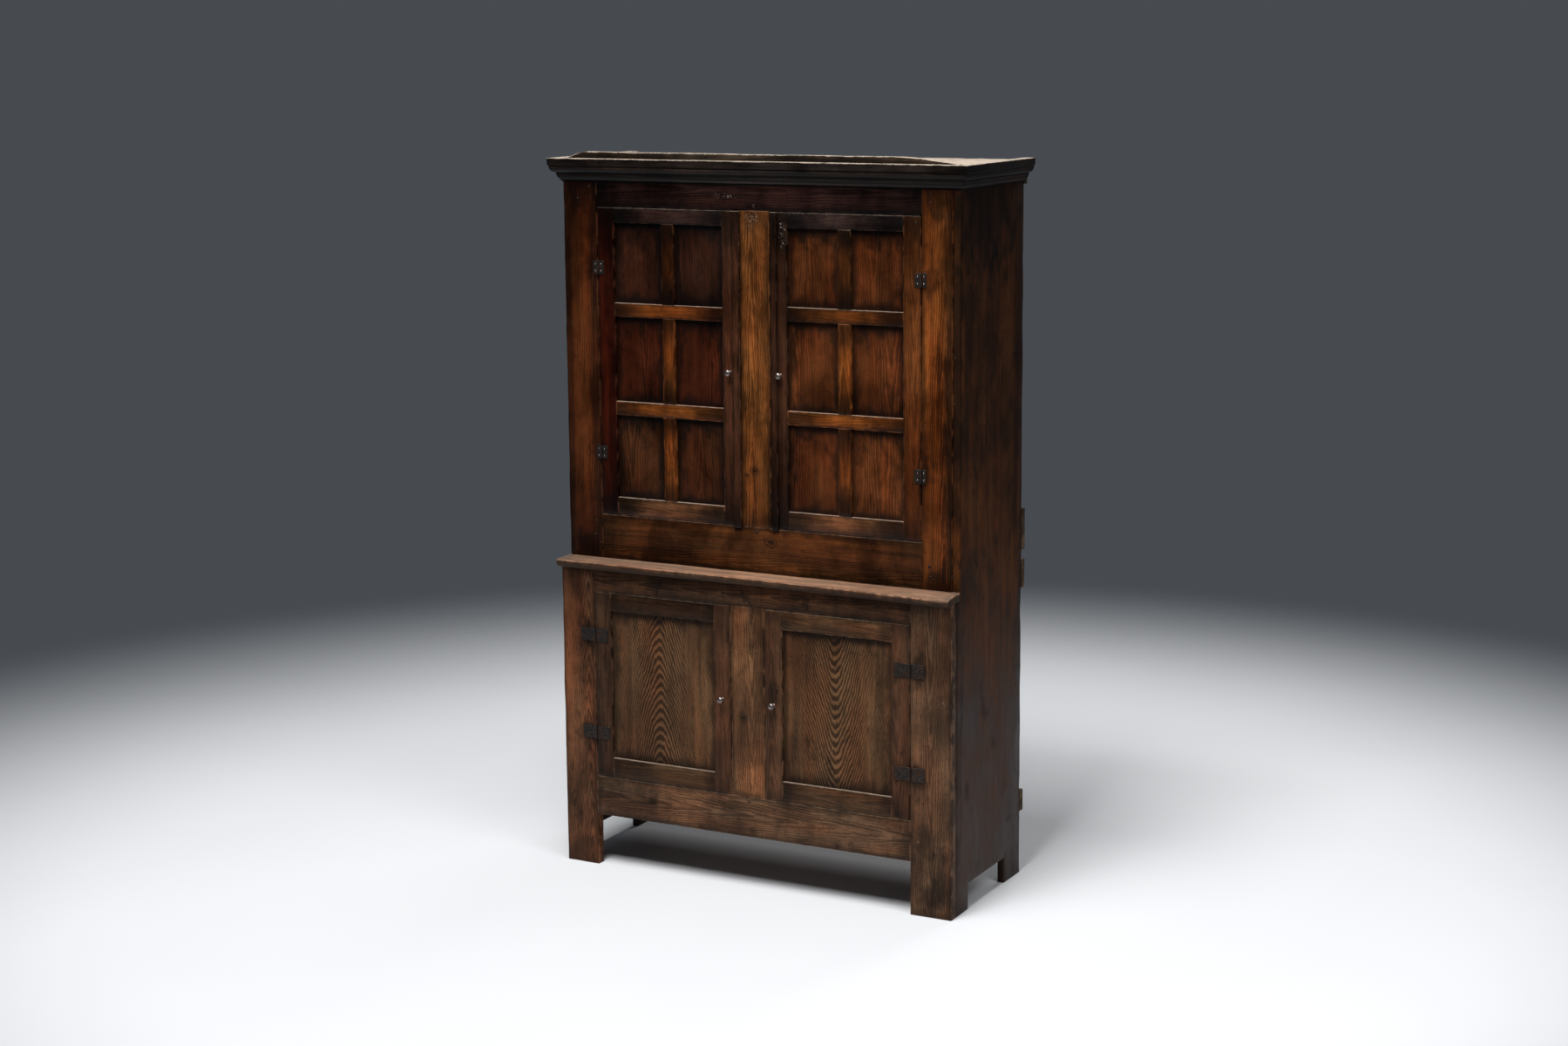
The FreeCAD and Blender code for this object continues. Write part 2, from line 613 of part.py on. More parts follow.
def make_door(name, hinge_side, face, thickness, x, z, stile, rails, muntin=None, bores=()):
    """A framed door; rails lists (name, low, high) from the bottom, bores cut its closing stile."""
    back = face + thickness
    groove_y = (face + S.panel_recess, face + S.panel_recess + S.groove_width)
    tenon_y = (groove_y[0] + S.joint_fit, groove_y[1] - S.joint_fit)
    inner = (x[0] + stile, x[1] - stile)
    deep = S.groove_depth
    tenon_span = (inner[0] - S.door_tenon_length, inner[1] + S.door_tenon_length)

    names = ("hinge_stile", "closing_stile") if hinge_side < 0 else ("closing_stile", "hinge_stile")
    for piece, edges, side in ((names[0], (x[0], inner[0]), 1), (names[1], (inner[1], x[1]), -1)):
        edge = edges[1] if side > 0 else edges[0]
        cuts = []
        for kind, depth, heights in [("groove", deep, (z[0] - S.overrun, z[1] + S.overrun))] + [
                (f"{rail}_mortise", S.door_tenon_length, (low + deep, high - deep))
                for rail, low, high in rails]:
            reach = (edge - depth, edge + S.overrun)
            if side < 0:
                reach = (edge - S.overrun, edge + depth)
            cuts.append(block(f"{name}_{piece}_{kind}", reach, groove_y, heights))
        if piece == "closing_stile":
            cuts += list(bores)
        post = block(f"{name}_{piece}_post", edges, (face, back), z)
        node(cut(f"{name}_{piece}", post, cuts))

    mids = []
    for i, (rail, low, high) in enumerate(rails):
        grooves, stubs = [], []
        bar = block(f"{name}_{rail}_bar", inner, (face, back), (low, high))
        if i > 0:
            grooves.append(block(f"{name}_{rail}_under_groove", (inner[0] - S.overrun,
                           inner[1] + S.overrun), groove_y, (low - S.overrun, low + deep)))
        else:
            stubs.append(block(f"{name}_{rail}_haunch", (inner[0] - deep, inner[1] + deep),
                               tenon_y, (low, low + deep)))
        if i < len(rails) - 1:
            grooves.append(block(f"{name}_{rail}_over_groove", (inner[0] - S.overrun,
                           inner[1] + S.overrun), groove_y, (high - deep, high + S.overrun)))
        else:
            stubs.append(block(f"{name}_{rail}_haunch", (inner[0] - deep, inner[1] + deep),
                               tenon_y, (high - deep, high)))
        stubs.append(block(f"{name}_{rail}_tenon", tenon_span, tenon_y, (low + deep, high - deep)))
        grooved = cut(f"{name}_{rail}_grooved", bar, grooves)
        solid = fuse(f"{name}_{rail}", [grooved] + stubs)
        if 0 < i < len(rails) - 1:
            mids.append(solid)
        else:
            node(solid)
    if mids:
        node(group(f"{name}_mid_rails", mids))

    middle = (inner[0] + inner[1]) / 2
    muntins, panels = [], []
    for row in range(len(rails) - 1):
        heights = (rails[row][2], rails[row + 1][1])
        if muntin is None:
            panels.append(panel_solid(f"{name}_panel", inner, heights, face))
            continue
        edges = (middle - muntin / 2, middle + muntin / 2)
        bar = block(f"{name}_muntin_bar_{row}", edges, (face, back), heights)
        sides = [block(f"{name}_muntin_groove_{row}_{k}", reach, groove_y,
                       (heights[0] - S.overrun, heights[1] + S.overrun))
                 for k, reach in enumerate(((edges[0] - S.overrun, edges[0] + deep),
                                            (edges[1] - deep, edges[1] + S.overrun)))]
        stub = block(f"{name}_muntin_stub_{row}", (edges[0] + deep, edges[1] - deep), tenon_y,
                     (heights[0] - deep, heights[1] + deep))
        muntins.append(fuse(f"{name}_muntin_{row}",
                            [cut(f"{name}_muntin_grooved_{row}", bar, sides), stub]))
        panels.append(panel_solid(f"{name}_panel_{row}_left", (inner[0], edges[0]), heights, face))
        panels.append(panel_solid(f"{name}_panel_{row}_right", (edges[1], inner[1]), heights, face))
    if muntins:
        node(group(f"{name}_muntins", muntins))
        node(group(f"{name}_panels", panels))
    else:
        node(panels[0])


def make_hinges(name, hinge_side, face, edge, heights, sizes):
    """Face-fixed butt hinges: a leaf on the frame, which holds the pin, and a leaf on the door."""
    radius, thick = sizes["radius"], sizes["thickness"]
    axis_y = face - radius - S.knuckle_gap
    frame_leaves, door_leaves = [], []
    for i, low in enumerate(heights):
        high = low + sizes["height"]
        first = low + sizes["height"] / 3
        second = high - sizes["height"] / 3
        near = radius + S.knuckle_gap
        gap = S.knuckle_gap / 2
        around = ((edge - near, edge + near), (axis_y - near, face + S.overrun))
        middle = (first - gap, second + gap)
        ends = ((low - S.overrun, first + gap), (second - gap, high + S.overrun))
        for kind, width, away in (("frame", sizes["frame_leaf"], hinge_side),
                                  ("door", sizes["door_leaf"], -hinge_side)):
            label = f"{name}_{kind}_leaf_{i}"
            reach = (edge - width, edge) if away < 0 else (edge, edge + width)
            plate = block(f"{label}_plate", reach, (face - thick, face), (low, high))
            root = (edge - near, edge) if away < 0 else (edge, edge + near)
            web = block(f"{label}_web", root, (axis_y, face), (low, high))
            barrel = rod(f"{label}_barrel", (edge, axis_y, low), Vector(0, 0, 1), radius,
                         sizes["height"])
            solid = fuse(f"{label}_blank", [plate, web, barrel])
            if kind == "frame":
                slot = block(f"{label}_slot", around[0], around[1], middle)
                pin = rod(f"{label}_pin", (edge, axis_y, low), Vector(0, 0, 1),
                          S.hinge_pin_radius, sizes["height"])
                shaped = cut(f"{label}_shaped", solid, [slot])
                frame_leaves.append(fuse(label, [shaped, pin]))
            else:
                slots = [block(f"{label}_slot_{k}", around[0], around[1], span)
                         for k, span in enumerate(ends)]
                bore = rod(f"{label}_bore", (edge, axis_y, low), Vector(0, 0, 1),
                           S.hinge_pin_radius + S.pin_clearance, sizes["height"])
                door_leaves.append(cut(label, solid, slots + [bore]))
    node(group(f"{name}_hinge_leaves", door_leaves))
    return frame_leaves


def make_knob(name, face, thickness, x, z):
    """A turned knob on a spindle through the door, with a latch hanging on its inner end."""
    turned = new_body(f"{name}_turned", x, face, z)
    sketch = outline(turned, "YZ_Plane", [
        (0, 0), (0, S.knob_neck_radius), (-S.knob_flare, S.knob_radius),
        (-S.knob_flare - S.knob_band, S.knob_radius), (-S.knob_length, S.knob_tip_radius),
        (-S.knob_length, 0),
    ])
    revolved = turned.newObject("PartDesign::Revolution", f"{name}_revolution")
    revolved.Profile = sketch
    revolved.ReferenceAxis = (sketch, ["H_Axis"])
    revolved.Angle = 360
    latch_y = face + thickness + S.latch_gap
    half = S.spindle_square / 2
    spindle = block(f"{name}_square", (x - half, x + half),
                    (face - S.knob_flare, latch_y + S.latch_thickness), (z - half, z + half))

    latch = new_body(f"{name}_latch", x, latch_y, z)
    side = S.latch_width / 2
    tip = side * 0.6
    long = S.latch_length
    pad(latch, outline(latch, "XZ_Plane", [
        (-side, 0), (-tip, tip), (tip, tip), (side, 0), (tip, -long + tip), (tip / 2, -long),
        (-tip / 2, -long), (-tip, -long + tip),
    ]), S.latch_thickness, backwards=True)
    eye = half + S.joint_fit / 2
    pocket(latch, outline(latch, "XZ_Plane", [(-eye, -eye), (eye, -eye), (eye, eye), (-eye, eye)]))
    node(group(f"{name}_knob", [fuse(f"{name}_spindle", [turned, spindle]), latch]))


def spindle_bore(name, face, thickness, x, z):
    return rod(f"{name}_spindle_bore", (x, face - S.overrun, z), Vector(0, 1, 0),
               S.spindle_bore_radius, thickness + S.overrun * 2)


def keyhole(face, thickness, x, z):
    through = thickness + S.overrun * 2
    eye = rod("keyhole_eye", (x, face - S.overrun, z + S.keyhole_slot_length / 2),
              Vector(0, 1, 0), S.keyhole_radius, through)
    half = S.keyhole_slot_width / 2
    slot = block("keyhole_slot", (x - half, x + half),
                 (face - S.overrun, face + thickness + S.overrun),
                 (z - S.keyhole_slot_length / 2, z + S.keyhole_slot_length / 2))
    return [eye, slot]


def make_lock(edge, back, x, z):
    """A rim lock behind the closing stile, whose bolt shoots behind the centre stile."""
    left = edge + S.bolt_clearance
    right = left + S.lock_width
    low, high = z - S.lock_height / 2, z + S.lock_height / 2
    wall = S.lock_wall
    deep = back + S.lock_depth
    bolt_z = (z + wall, z + wall + S.bolt_height)
    bolt_y = (back + wall, back + wall + S.bolt_thickness)
    slack = S.bolt_clearance
    shell = block("lock_shell", (left, right), (back, deep), (low, high))
    cavity = block("lock_cavity", (left + wall, right - wall), (back - S.overrun, deep - wall),
                   (low + wall, high - wall))
    slot = block("lock_bolt_slot", (left - S.overrun, left + wall + S.overrun),
                 (bolt_y[0] - slack, bolt_y[1] + slack), (bolt_z[0] - slack, bolt_z[1] + slack))
    guide = block("lock_guide", (left + wall, right - wall), (back, deep - wall),
                  (bolt_z[0] - slack - wall, bolt_z[0] - slack))
    guide_gap = block("lock_guide_gap", (x - S.bolt_notch, x + S.bolt_notch),
                      (back - S.overrun, deep - wall),
                      (bolt_z[0] - slack - wall - S.overrun, bolt_z[0]))
    ledges = cut("lock_ledges", guide, [guide_gap])
    node(fuse("lock_case", [cut("lock_box", shell, [cavity, slot]), ledges]))
    bar = block("bolt_bar", (left, right - wall - S.bolt_travel), bolt_y, bolt_z)
    talon = block("bolt_talon", (x - S.bolt_notch / 2, x + S.bolt_notch / 2),
                  (bolt_y[0] - S.overrun, bolt_y[1] + S.overrun),
                  (bolt_z[0] - S.overrun, bolt_z[0] + S.bolt_height / 2))
    node(cut("lock_bolt", bar, [talon]))


def make_strip(name, x, bottom, top):
    """A nailed closing strip with rounded front edges."""
    body = new_body(f"{name}_closing_strip", x[0], UPPER_FACE, bottom)
    wide = x[1] - x[0]
    soft = S.strip_proud / 2
    pad(body, outline(body, "XY_Plane", [
        (0, 0), (0, -soft, -1), (soft, -S.strip_proud), (wide - soft, -S.strip_proud, -1),
        (wide, -soft), (wide, 0),
    ]), top - bottom)
    node(body)


# The case.
make_side("left_side", -HALF, S.upper_setback + S.upper_frame_thickness)
make_side("right_side", SIDE_INNER, S.upper_setback)

lower_centre = (-S.lower_centre_offset - S.lower_centre_stile_width / 2,
                -S.lower_centre_offset + S.lower_centre_stile_width / 2)
upper_centre = (-S.upper_centre_offset - S.upper_centre_stile_width / 2,
                -S.upper_centre_offset + S.upper_centre_stile_width / 2)
lower_left = (-HALF, -HALF + S.lower_left_stile_width)
lower_right = (HALF - S.lower_right_stile_width, HALF)
upper_left = (-HALF, -HALF + S.upper_left_stile_width)
upper_right = (SIDE_INNER - S.upper_right_stile_width, SIDE_INNER)

frame_pegs = make_face_frame("lower", FRONT, S.lower_frame_thickness, lower_left, lower_centre,
                             lower_right, (as_size(0), S.apron_height), LOWER_OPENING_BOTTOM,
                             LOWER_OPENING_TOP, LEDGE_BOTTOM)
frame_pegs += make_face_frame("upper", UPPER_FACE, S.upper_frame_thickness, upper_left,
                              upper_centre, upper_right, (S.waist_height, S.waist_height),
                              UPPER_OPENING_BOTTOM, UPPER_OPENING_TOP, CASE_TOP)
node(group("frame_pegs", frame_pegs))
make_ledge()
make_cornice()
make_top()
make_inside()
make_back()

# The doors, each inside its opening with the same air all round.
UPPER_HINGE = {"height": S.upper_hinge_height, "frame_leaf": S.upper_frame_leaf,
               "door_leaf": S.upper_door_leaf, "thickness": S.upper_leaf_thickness,
               "radius": S.upper_knuckle_radius}
LOWER_HINGE = {"height": S.lower_hinge_height, "frame_leaf": S.lower_frame_leaf,
               "door_leaf": S.lower_door_leaf, "thickness": S.lower_leaf_thickness,
               "radius": S.lower_knuckle_radius}

frame_leaves = []
upper_z = (UPPER_OPENING_BOTTOM + S.door_gap, UPPER_OPENING_TOP - S.door_gap)
for name, side, opening, rail_shares in (
        ("upper_left_door", -1, (upper_left[1], upper_centre[0]), LEFT_RAIL_SHARES),
        ("upper_right_door", 1, (upper_centre[1], upper_right[0]), RIGHT_RAIL_SHARES)):
    edges = (opening[0] + S.door_gap, opening[1] - S.door_gap)
    foot, head = upper_z
    tall = head - foot
    half_rail = S.mid_rail_width / 2
    low_rail, high_rail = [foot + tall * share for share in rail_shares]
    rails = [("bottom_rail", foot, foot + S.upper_door_bottom_rail_width),
             ("low_mid_rail", low_rail - half_rail, low_rail + half_rail),
             ("high_mid_rail", high_rail - half_rail, high_rail + half_rail),
             ("top_rail", head - S.upper_door_top_rail_width, head)]
    closing_edge = edges[1] if side < 0 else edges[0]
    knob_x = closing_edge + S.knob_inset * side
    knob_z = foot + tall * UPPER_KNOB_SHARE
    bore = spindle_bore(name, UPPER_FACE, S.upper_frame_thickness, knob_x, knob_z)
    make_door(name, side, UPPER_FACE, S.upper_frame_thickness, edges, upper_z,
              S.upper_door_stile_width, rails, S.mid_rail_width, [bore])
    hinge_line = opening[0] + S.door_gap / 2 if side < 0 else opening[1] - S.door_gap / 2
    hinge_feet = [foot + tall * share for share in UPPER_HINGE_SHARES]
    frame_leaves += make_hinges(name, side, UPPER_FACE, hinge_line, hinge_feet, UPPER_HINGE)
    make_knob(name, UPPER_FACE, S.upper_frame_thickness, knob_x, knob_z)
    if side < 0:
        strip_end = opening[1] + S.left_strip_lap
        strip = (strip_end - S.left_strip_width, strip_end)
    else:
        strip_start = edges[0] + S.right_strip_inset
        strip = (strip_start, strip_start + S.right_strip_width)
    make_strip(name, strip, foot - S.strip_tail, head)

lower_z = (LOWER_OPENING_BOTTOM + S.door_gap, LOWER_OPENING_TOP - S.door_gap)
for name, side, opening in (("lower_left_door", -1, (lower_left[1], lower_centre[0])),
                            ("lower_right_door", 1, (lower_centre[1], lower_right[0]))):
    edges = (opening[0] + S.door_gap, opening[1] - S.door_gap)
    foot, head = lower_z
    tall = head - foot
    rails = [("bottom_rail", foot, foot + S.lower_door_bottom_rail_width),
             ("top_rail", head - S.lower_door_top_rail_width, head)]
    closing_edge = edges[1] if side < 0 else edges[0]
    knob_x = closing_edge + S.lower_knob_inset * side
    knob_z = foot + tall * LOWER_KNOB_SHARE
    bores = [spindle_bore(name, FRONT, S.lower_frame_thickness, knob_x, knob_z)]
    if side > 0:
        key_x = closing_edge + S.lock_inset
        key_z = knob_z + S.keyhole_rise
        bores += keyhole(FRONT, S.lower_frame_thickness, key_x, key_z)
        make_lock(edges[0], LOWER_BACK, key_x, key_z)
    make_door(name, side, FRONT, S.lower_frame_thickness, edges, lower_z,
              S.lower_door_stile_width, rails, None, bores)
    hinge_line = opening[0] + S.door_gap / 2 if side < 0 else opening[1] - S.door_gap / 2
    hinge_feet = [foot + tall * share for share in LOWER_HINGE_SHARES]
    frame_leaves += make_hinges(name, side, FRONT, hinge_line, hinge_feet, LOWER_HINGE)
    make_knob(name, FRONT, S.lower_frame_thickness, knob_x, knob_z)
node(group("frame_hinge_leaves", frame_leaves))

doc.recompute()
for item in doc.Objects:
    if "Invalid" in item.State or "Error" in item.State:
        raise RuntimeError(f"{item.Label} failed: {item.State}")
for piece in nodes:
    if piece.Shape.isNull() or not piece.Shape.isValid():
        raise RuntimeError(f"{piece.Label} has no valid shape")

os.makedirs("parts", exist_ok=True)
for piece in nodes:
    piece.Shape.exportStep(f"parts/{piece.Label}.step")
print(len(nodes), "sub-parts")
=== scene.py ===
"""The court cupboard's worn oak, ironwork and studio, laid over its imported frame."""

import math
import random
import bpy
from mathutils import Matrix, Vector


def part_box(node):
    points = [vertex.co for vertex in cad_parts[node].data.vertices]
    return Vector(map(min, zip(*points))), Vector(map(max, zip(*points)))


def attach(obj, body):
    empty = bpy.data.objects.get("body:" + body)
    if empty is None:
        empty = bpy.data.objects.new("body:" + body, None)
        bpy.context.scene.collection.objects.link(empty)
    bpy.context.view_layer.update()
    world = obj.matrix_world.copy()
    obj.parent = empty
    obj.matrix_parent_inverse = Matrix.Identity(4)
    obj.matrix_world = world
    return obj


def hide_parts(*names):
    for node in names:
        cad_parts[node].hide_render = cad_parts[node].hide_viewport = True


bl_info = {
    "name": "Court Cupboard",
    "version": (1, 0, 0),
    "blender": (4, 5, 0),
    "location": "View3D > Sidebar > Cupboard",
    "description": "Dresses the court cupboard's frame in worn oak, iron and dust",
    "category": "Object",
}

from contextlib import contextmanager
from dataclasses import dataclass

import bmesh
import bpy
from mathutils import Matrix, Vector

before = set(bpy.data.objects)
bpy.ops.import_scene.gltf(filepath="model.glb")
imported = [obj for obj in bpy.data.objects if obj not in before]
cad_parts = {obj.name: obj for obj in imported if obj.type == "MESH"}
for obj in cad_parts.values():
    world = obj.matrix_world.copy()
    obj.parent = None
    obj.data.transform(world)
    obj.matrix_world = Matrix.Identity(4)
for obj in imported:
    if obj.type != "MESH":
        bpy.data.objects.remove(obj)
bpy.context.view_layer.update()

AXES = {"x": 0, "y": 1, "z": 2}
MERGED = 1e-5
MOST_CUTS = 60
SMOOTH_ANGLE = math.radians(38)
# A face looks along an axis when this much of its normal lies along it.
FACING = 0.9
# An upright board's top end is covered, so its dark top, on the panels a painted shadow under the
# rail, starts this much lower.
COVERED_END = 0.010
# A nick texture is white, with few and deep dark places.
NICK_CONTRAST = 3.0
NICK_LIFT = 2.0
# How far a cutter reaches beyond what it cuts.
OVERRUN = 0.01
CASE = "case"
UPPER_DOORS = ("upper_left_door", "upper_right_door")
LOWER_DOORS = ("lower_left_door", "lower_right_door")

# Lengths of the tenons that a node's box takes in beyond its shoulders.
FRAME_TENON = 0.044
CENTRE_STUB = 0.022
DOOR_TENON = 0.030
MUNTIN_STUB = 0.008
GROOVE = 0.007
# A tenon's shoulder, as a share of the board's thickness.
TENON_SHOULDER = 0.34

# The cornice's section: share of its projection and share of its height.
CORNICE_SECTION = [
    (1.00, 1.00), (0.985, 0.85), (0.97, 0.70), (0.88, 0.67), (0.87, 0.60), (0.82, 0.525),
    (0.73, 0.455), (0.62, 0.41), (0.44, 0.38), (0.40, 0.32), (0.375, 0.255), (0.32, 0.19),
    (0.20, 0.12), (0.16, 0.065), (0.06, 0.05), (0.06, 0.00),
]
CORNICE_LOW = 1.839
CORNICE_RISE = 0.061
CORNICE_REACH = 0.030

# Planes of the case, and the height that parts its two stages.
UPPER_FACE = -0.1715
LOWER_FACE = -0.2185
CASE_SIDE = 0.573
WAIST = 0.840

# A turned knob: depth out from the door and radius, as shares of its length and of its band.
KNOB_SECTION = [
    (0.00, 0.56), (0.05, 0.56), (0.10, 0.46), (0.26, 0.46), (0.42, 0.70), (0.52, 0.93),
    (0.58, 1.00), (0.68, 1.00), (0.78, 0.93), (0.88, 0.76), (0.95, 0.52), (0.99, 0.24),
    (1.00, 0.03),
]
HEAD_SECTION = [(0.0, 1.0), (0.4, 0.96), (0.75, 0.74), (0.95, 0.40), (1.0, 0.05)]
KNOB_REACH = 0.020
KNOB_BAND = 0.009
# A latch's width at each of its heights, as a share of its greatest.
LATCH_WIDTHS = (("top", 0.6), ("spindle", 0.94), ("shoulder", 0.6), ("foot", 0.3))
LATCH_TIP = 0.0042
LATCH_ARRIS = 0.0006

# A peg's head: depth out from the back of the peg and radius, as shares.
PEG_SECTION = [(0.0, 0.96), (0.94, 1.0), (0.985, 0.92), (1.0, 0.70), (1.005, 0.05)]

# Nails left in the boards: place across, height and the face that they stand on.
FRONT_NAILS = [
    (-0.5274, 1.7961, UPPER_FACE), (0.4891, 1.8061, UPPER_FACE), (0.4514, 1.7572, UPPER_FACE),
    (-0.5507, 1.4670, UPPER_FACE), (-0.5420, 1.3796, UPPER_FACE), (-0.4893, 0.9388, UPPER_FACE),
    (-0.4774, 0.8792, UPPER_FACE), (0.4916, 0.8729, UPPER_FACE), (0.5548, 0.8803, UPPER_FACE),
    (0.5581, 1.4269, UPPER_FACE), (0.5553, 1.3123, UPPER_FACE), (0.5621, 0.5541, LOWER_FACE),
]


def linear(value):
    """One channel from 0 to 255 as the eye reads it, on the renderer's own scale."""
    share = value / 255
    return share / 12.92 if share <= 0.04045 else ((share + 0.055) / 1.055) ** 2.4


def length(name, description, default):
    return bpy.props.FloatProperty(name=name, description=description, default=default,
                                   min=0, precision=4, subtype="DISTANCE", unit="LENGTH")


def angle(name, description, default):
    return bpy.props.FloatProperty(name=name, description=description, default=default,
                                   subtype="ANGLE", unit="ROTATION")


def power(name, description, default):
    return bpy.props.FloatProperty(name=name, description=description, default=default,
                                   unit="POWER")


def painted(red, green, blue):
    """A colour given from 0 to 255, on the renderer's own scale."""
    return [linear(value) for value in (red, green, blue)]


def tint(name, description, red, green, blue):
    return bpy.props.FloatVectorProperty(name=name, description=description, size=3,
                                         min=0, max=1, subtype="COLOR",
                                         default=painted(red, green, blue))


class CupboardSizes(bpy.types.PropertyGroup):
    """Wear, slices and small fittings that the frame leaves open."""

    face_arris: length("Face arris", "Rounding of the frames' and doors' edges", 0.0008)
    outer_arris: length("Outer arris", "Rounding of edges that hands and feet reach", 0.0018)
    slice: length("Slice", "Length between two cuts of a board that shows", 0.012)
    coarse_slice: length("Coarse slice", "Length between two cuts of a hidden board", 0.080)
    warp: length("Warp", "Rise and fall of a board's face", 0.0014)
    warp_length: length("Warp length", "Distance over which a face rises and falls", 0.11)
    chip: length("Chip", "Depth of the nicks along an arris", 0.0030)
    chip_length: length("Chip length", "Distance between nicks along an arris", 0.016)
    ledge_split: length("Ledge splits", "Depth of the splinters along the ledge", 0.0045)
    ledge_droop: length("Ledge droop", "Fall of the ledge's front right corner", 0.009)
    field_margin: length("Field margin", "Bevelled border of an upper door's panel", 0.017)
    field_rise: length("Field rise", "Height of an upper panel's field over its border", 0.0012)
    screw_radius: length("Screw radius", "Radius of a hinge's screw heads", 0.0024)
    nail_radius: length("Nail radius", "Radius of a nail's head", 0.0028)


class CupboardColours(bpy.types.PropertyGroup):
    """Colours of the boards, the metal, and the dust that also paints highlights."""

    upper_left_stile: tint("Upper left stile", "Red-brown waxed oak", 60, 28, 10)
    upper_centre_stile: tint("Upper centre stile", "Golden waxed oak", 99, 56, 25)
    upper_right_stile: tint("Upper right stile", "Orange waxed oak", 90, 46, 17)
    upper_top_rail: tint("Upper top rail", "Dark purple-brown oak", 31, 16, 13)
    upper_bottom_rail: tint("Upper bottom rail", "Mottled golden oak", 68, 38, 17)
    left_door_stile: tint("Left door stiles", "Near-black red oak", 37, 8, 2)
    golden_rail: tint("Golden rails", "Mid rails and muntins of the upper doors", 92, 48, 17)
    smoky_rail: tint("Smoky rails", "Top rails of the upper doors", 34, 23, 20)
    door_bottom_rail: tint("Bottom rails", "Grey-gold foot rails of the upper doors", 77, 47, 29)
    smoky_panel: tint("Smoky panels", "Left door's top panels", 42, 21, 12)
    russet_panel: tint("Russet panels", "Left door's middle panels", 49, 19, 7)
    olive_panel: tint("Olive panels", "Left door's bottom panels", 52, 26, 11)
    right_door_stile: tint("Right door stiles", "Brown waxed oak", 78, 40, 16)
    right_panel: tint("Right door panels", "Warm brown panels", 72, 36, 15)
    closing_strip: tint("Closing strips", "Dark reddish strips", 54, 30, 18)
    lower_left_stile: tint("Lower left stile", "Orange-brown oak", 84, 52, 33)
    lower_right_stile: tint("Lower right stile", "Grey-brown oak", 83, 59, 42)
    lower_centre_stile: tint("Lower centre stile", "Brown oak", 103, 69, 45)
    lower_top_rail: tint("Lower top rail", "Brown oak under the ledge", 69, 45, 28)
    lower_bottom_rail: tint("Lower bottom rail", "Mottled brown oak", 84, 60, 43)
    lower_door_stile: tint("Lower door stiles", "Dark brown oak", 70, 46, 31)
    lower_door_rail: tint("Lower door rails", "Dark brown oak", 71, 49, 32)
    lower_panel: tint("Lower panels", "Brown oak with a strong figure", 78, 53, 34)
    side: tint("Sides", "Dark brown planks", 58, 31, 11)
    ledge: tint("Waist ledge", "Pinkish worn oak", 112, 78, 56)
    cornice: tint("Cornice", "Near-black moulding", 25, 20, 18)
    upstand: tint("Upstand", "Olive-brown board", 38, 30, 23)
    top: tint("Top board", "Grey dusty board", 66, 56, 46)
    inside: tint("Inside", "Raw brown oak of the shelves", 88, 66, 46)
    back: tint("Back", "Raw dark boards", 92, 72, 55)
    iron: tint("Iron", "Dark hand-worked iron", 44, 40, 37)
    knob: tint("Knobs", "Worn grey metal", 128, 118, 114)
    # Dust, which also serves as the painted highlight on upward faces and top arrises.
    dust_and_highlight: tint("Dust", "Dust on ledges and the top", 176, 160, 144)


class CupboardStudio(bpy.types.PropertyGroup):
    """Camera and light."""

    eye: bpy.props.FloatVectorProperty(
        name="Eye", description="Place of the camera", size=3, subtype="TRANSLATION",
        unit="LENGTH", default=(3.1877, -6.0278, 2.2249))
    turn: angle("Turn", "Camera's turn to the left", 0.4880)
    tilt: angle("Tilt", "Camera's tilt downwards", 0.1694)
    roll: angle("Roll", "Camera's roll", 0.0082)
    lens: bpy.props.FloatProperty(name="Lens", description="Focal length", default=60.28,
                                  unit="CAMERA")
    shift: bpy.props.FloatVectorProperty(name="Shift", description="Framing of the view",
                                         size=2, default=(0.0, -0.0278))
    floor: tint("Floor", "Pale studio floor", 225, 226, 228)
    air: tint("Air", "Plain grey behind and around", 71, 75, 80)
    key_power: power("Key", "Main soft light", 240)
    fill_power: power("Fill", "Soft light on the shaded side", 80)
    head_power: power("Head", "Soft light from overhead", 200)
    back_power: power("Back", "Soft light on the back", 80)


SIZES = "cupboard_sizes"
COLOURS = "cupboard_colours"
STUDIO = "cupboard_studio"


def sizes():
    return getattr(bpy.context.scene, SIZES)


def colour(name):
    return tuple(getattr(getattr(bpy.context.scene, COLOURS), name))


def opaque(paint):
    """A colour with the fourth channel that a node's colour socket takes."""
    return (*paint, 1.0)


# Nodes of a material

@dataclass
class Noise:
    """A noise's scale along each axis, its texture, and the values that a mask of it spans."""

    scale: tuple
    detail: float = 2.0
    roughness: float = 0.5
    distortion: float = 0.0
    low: float = 0.0
    high: float = 1.0


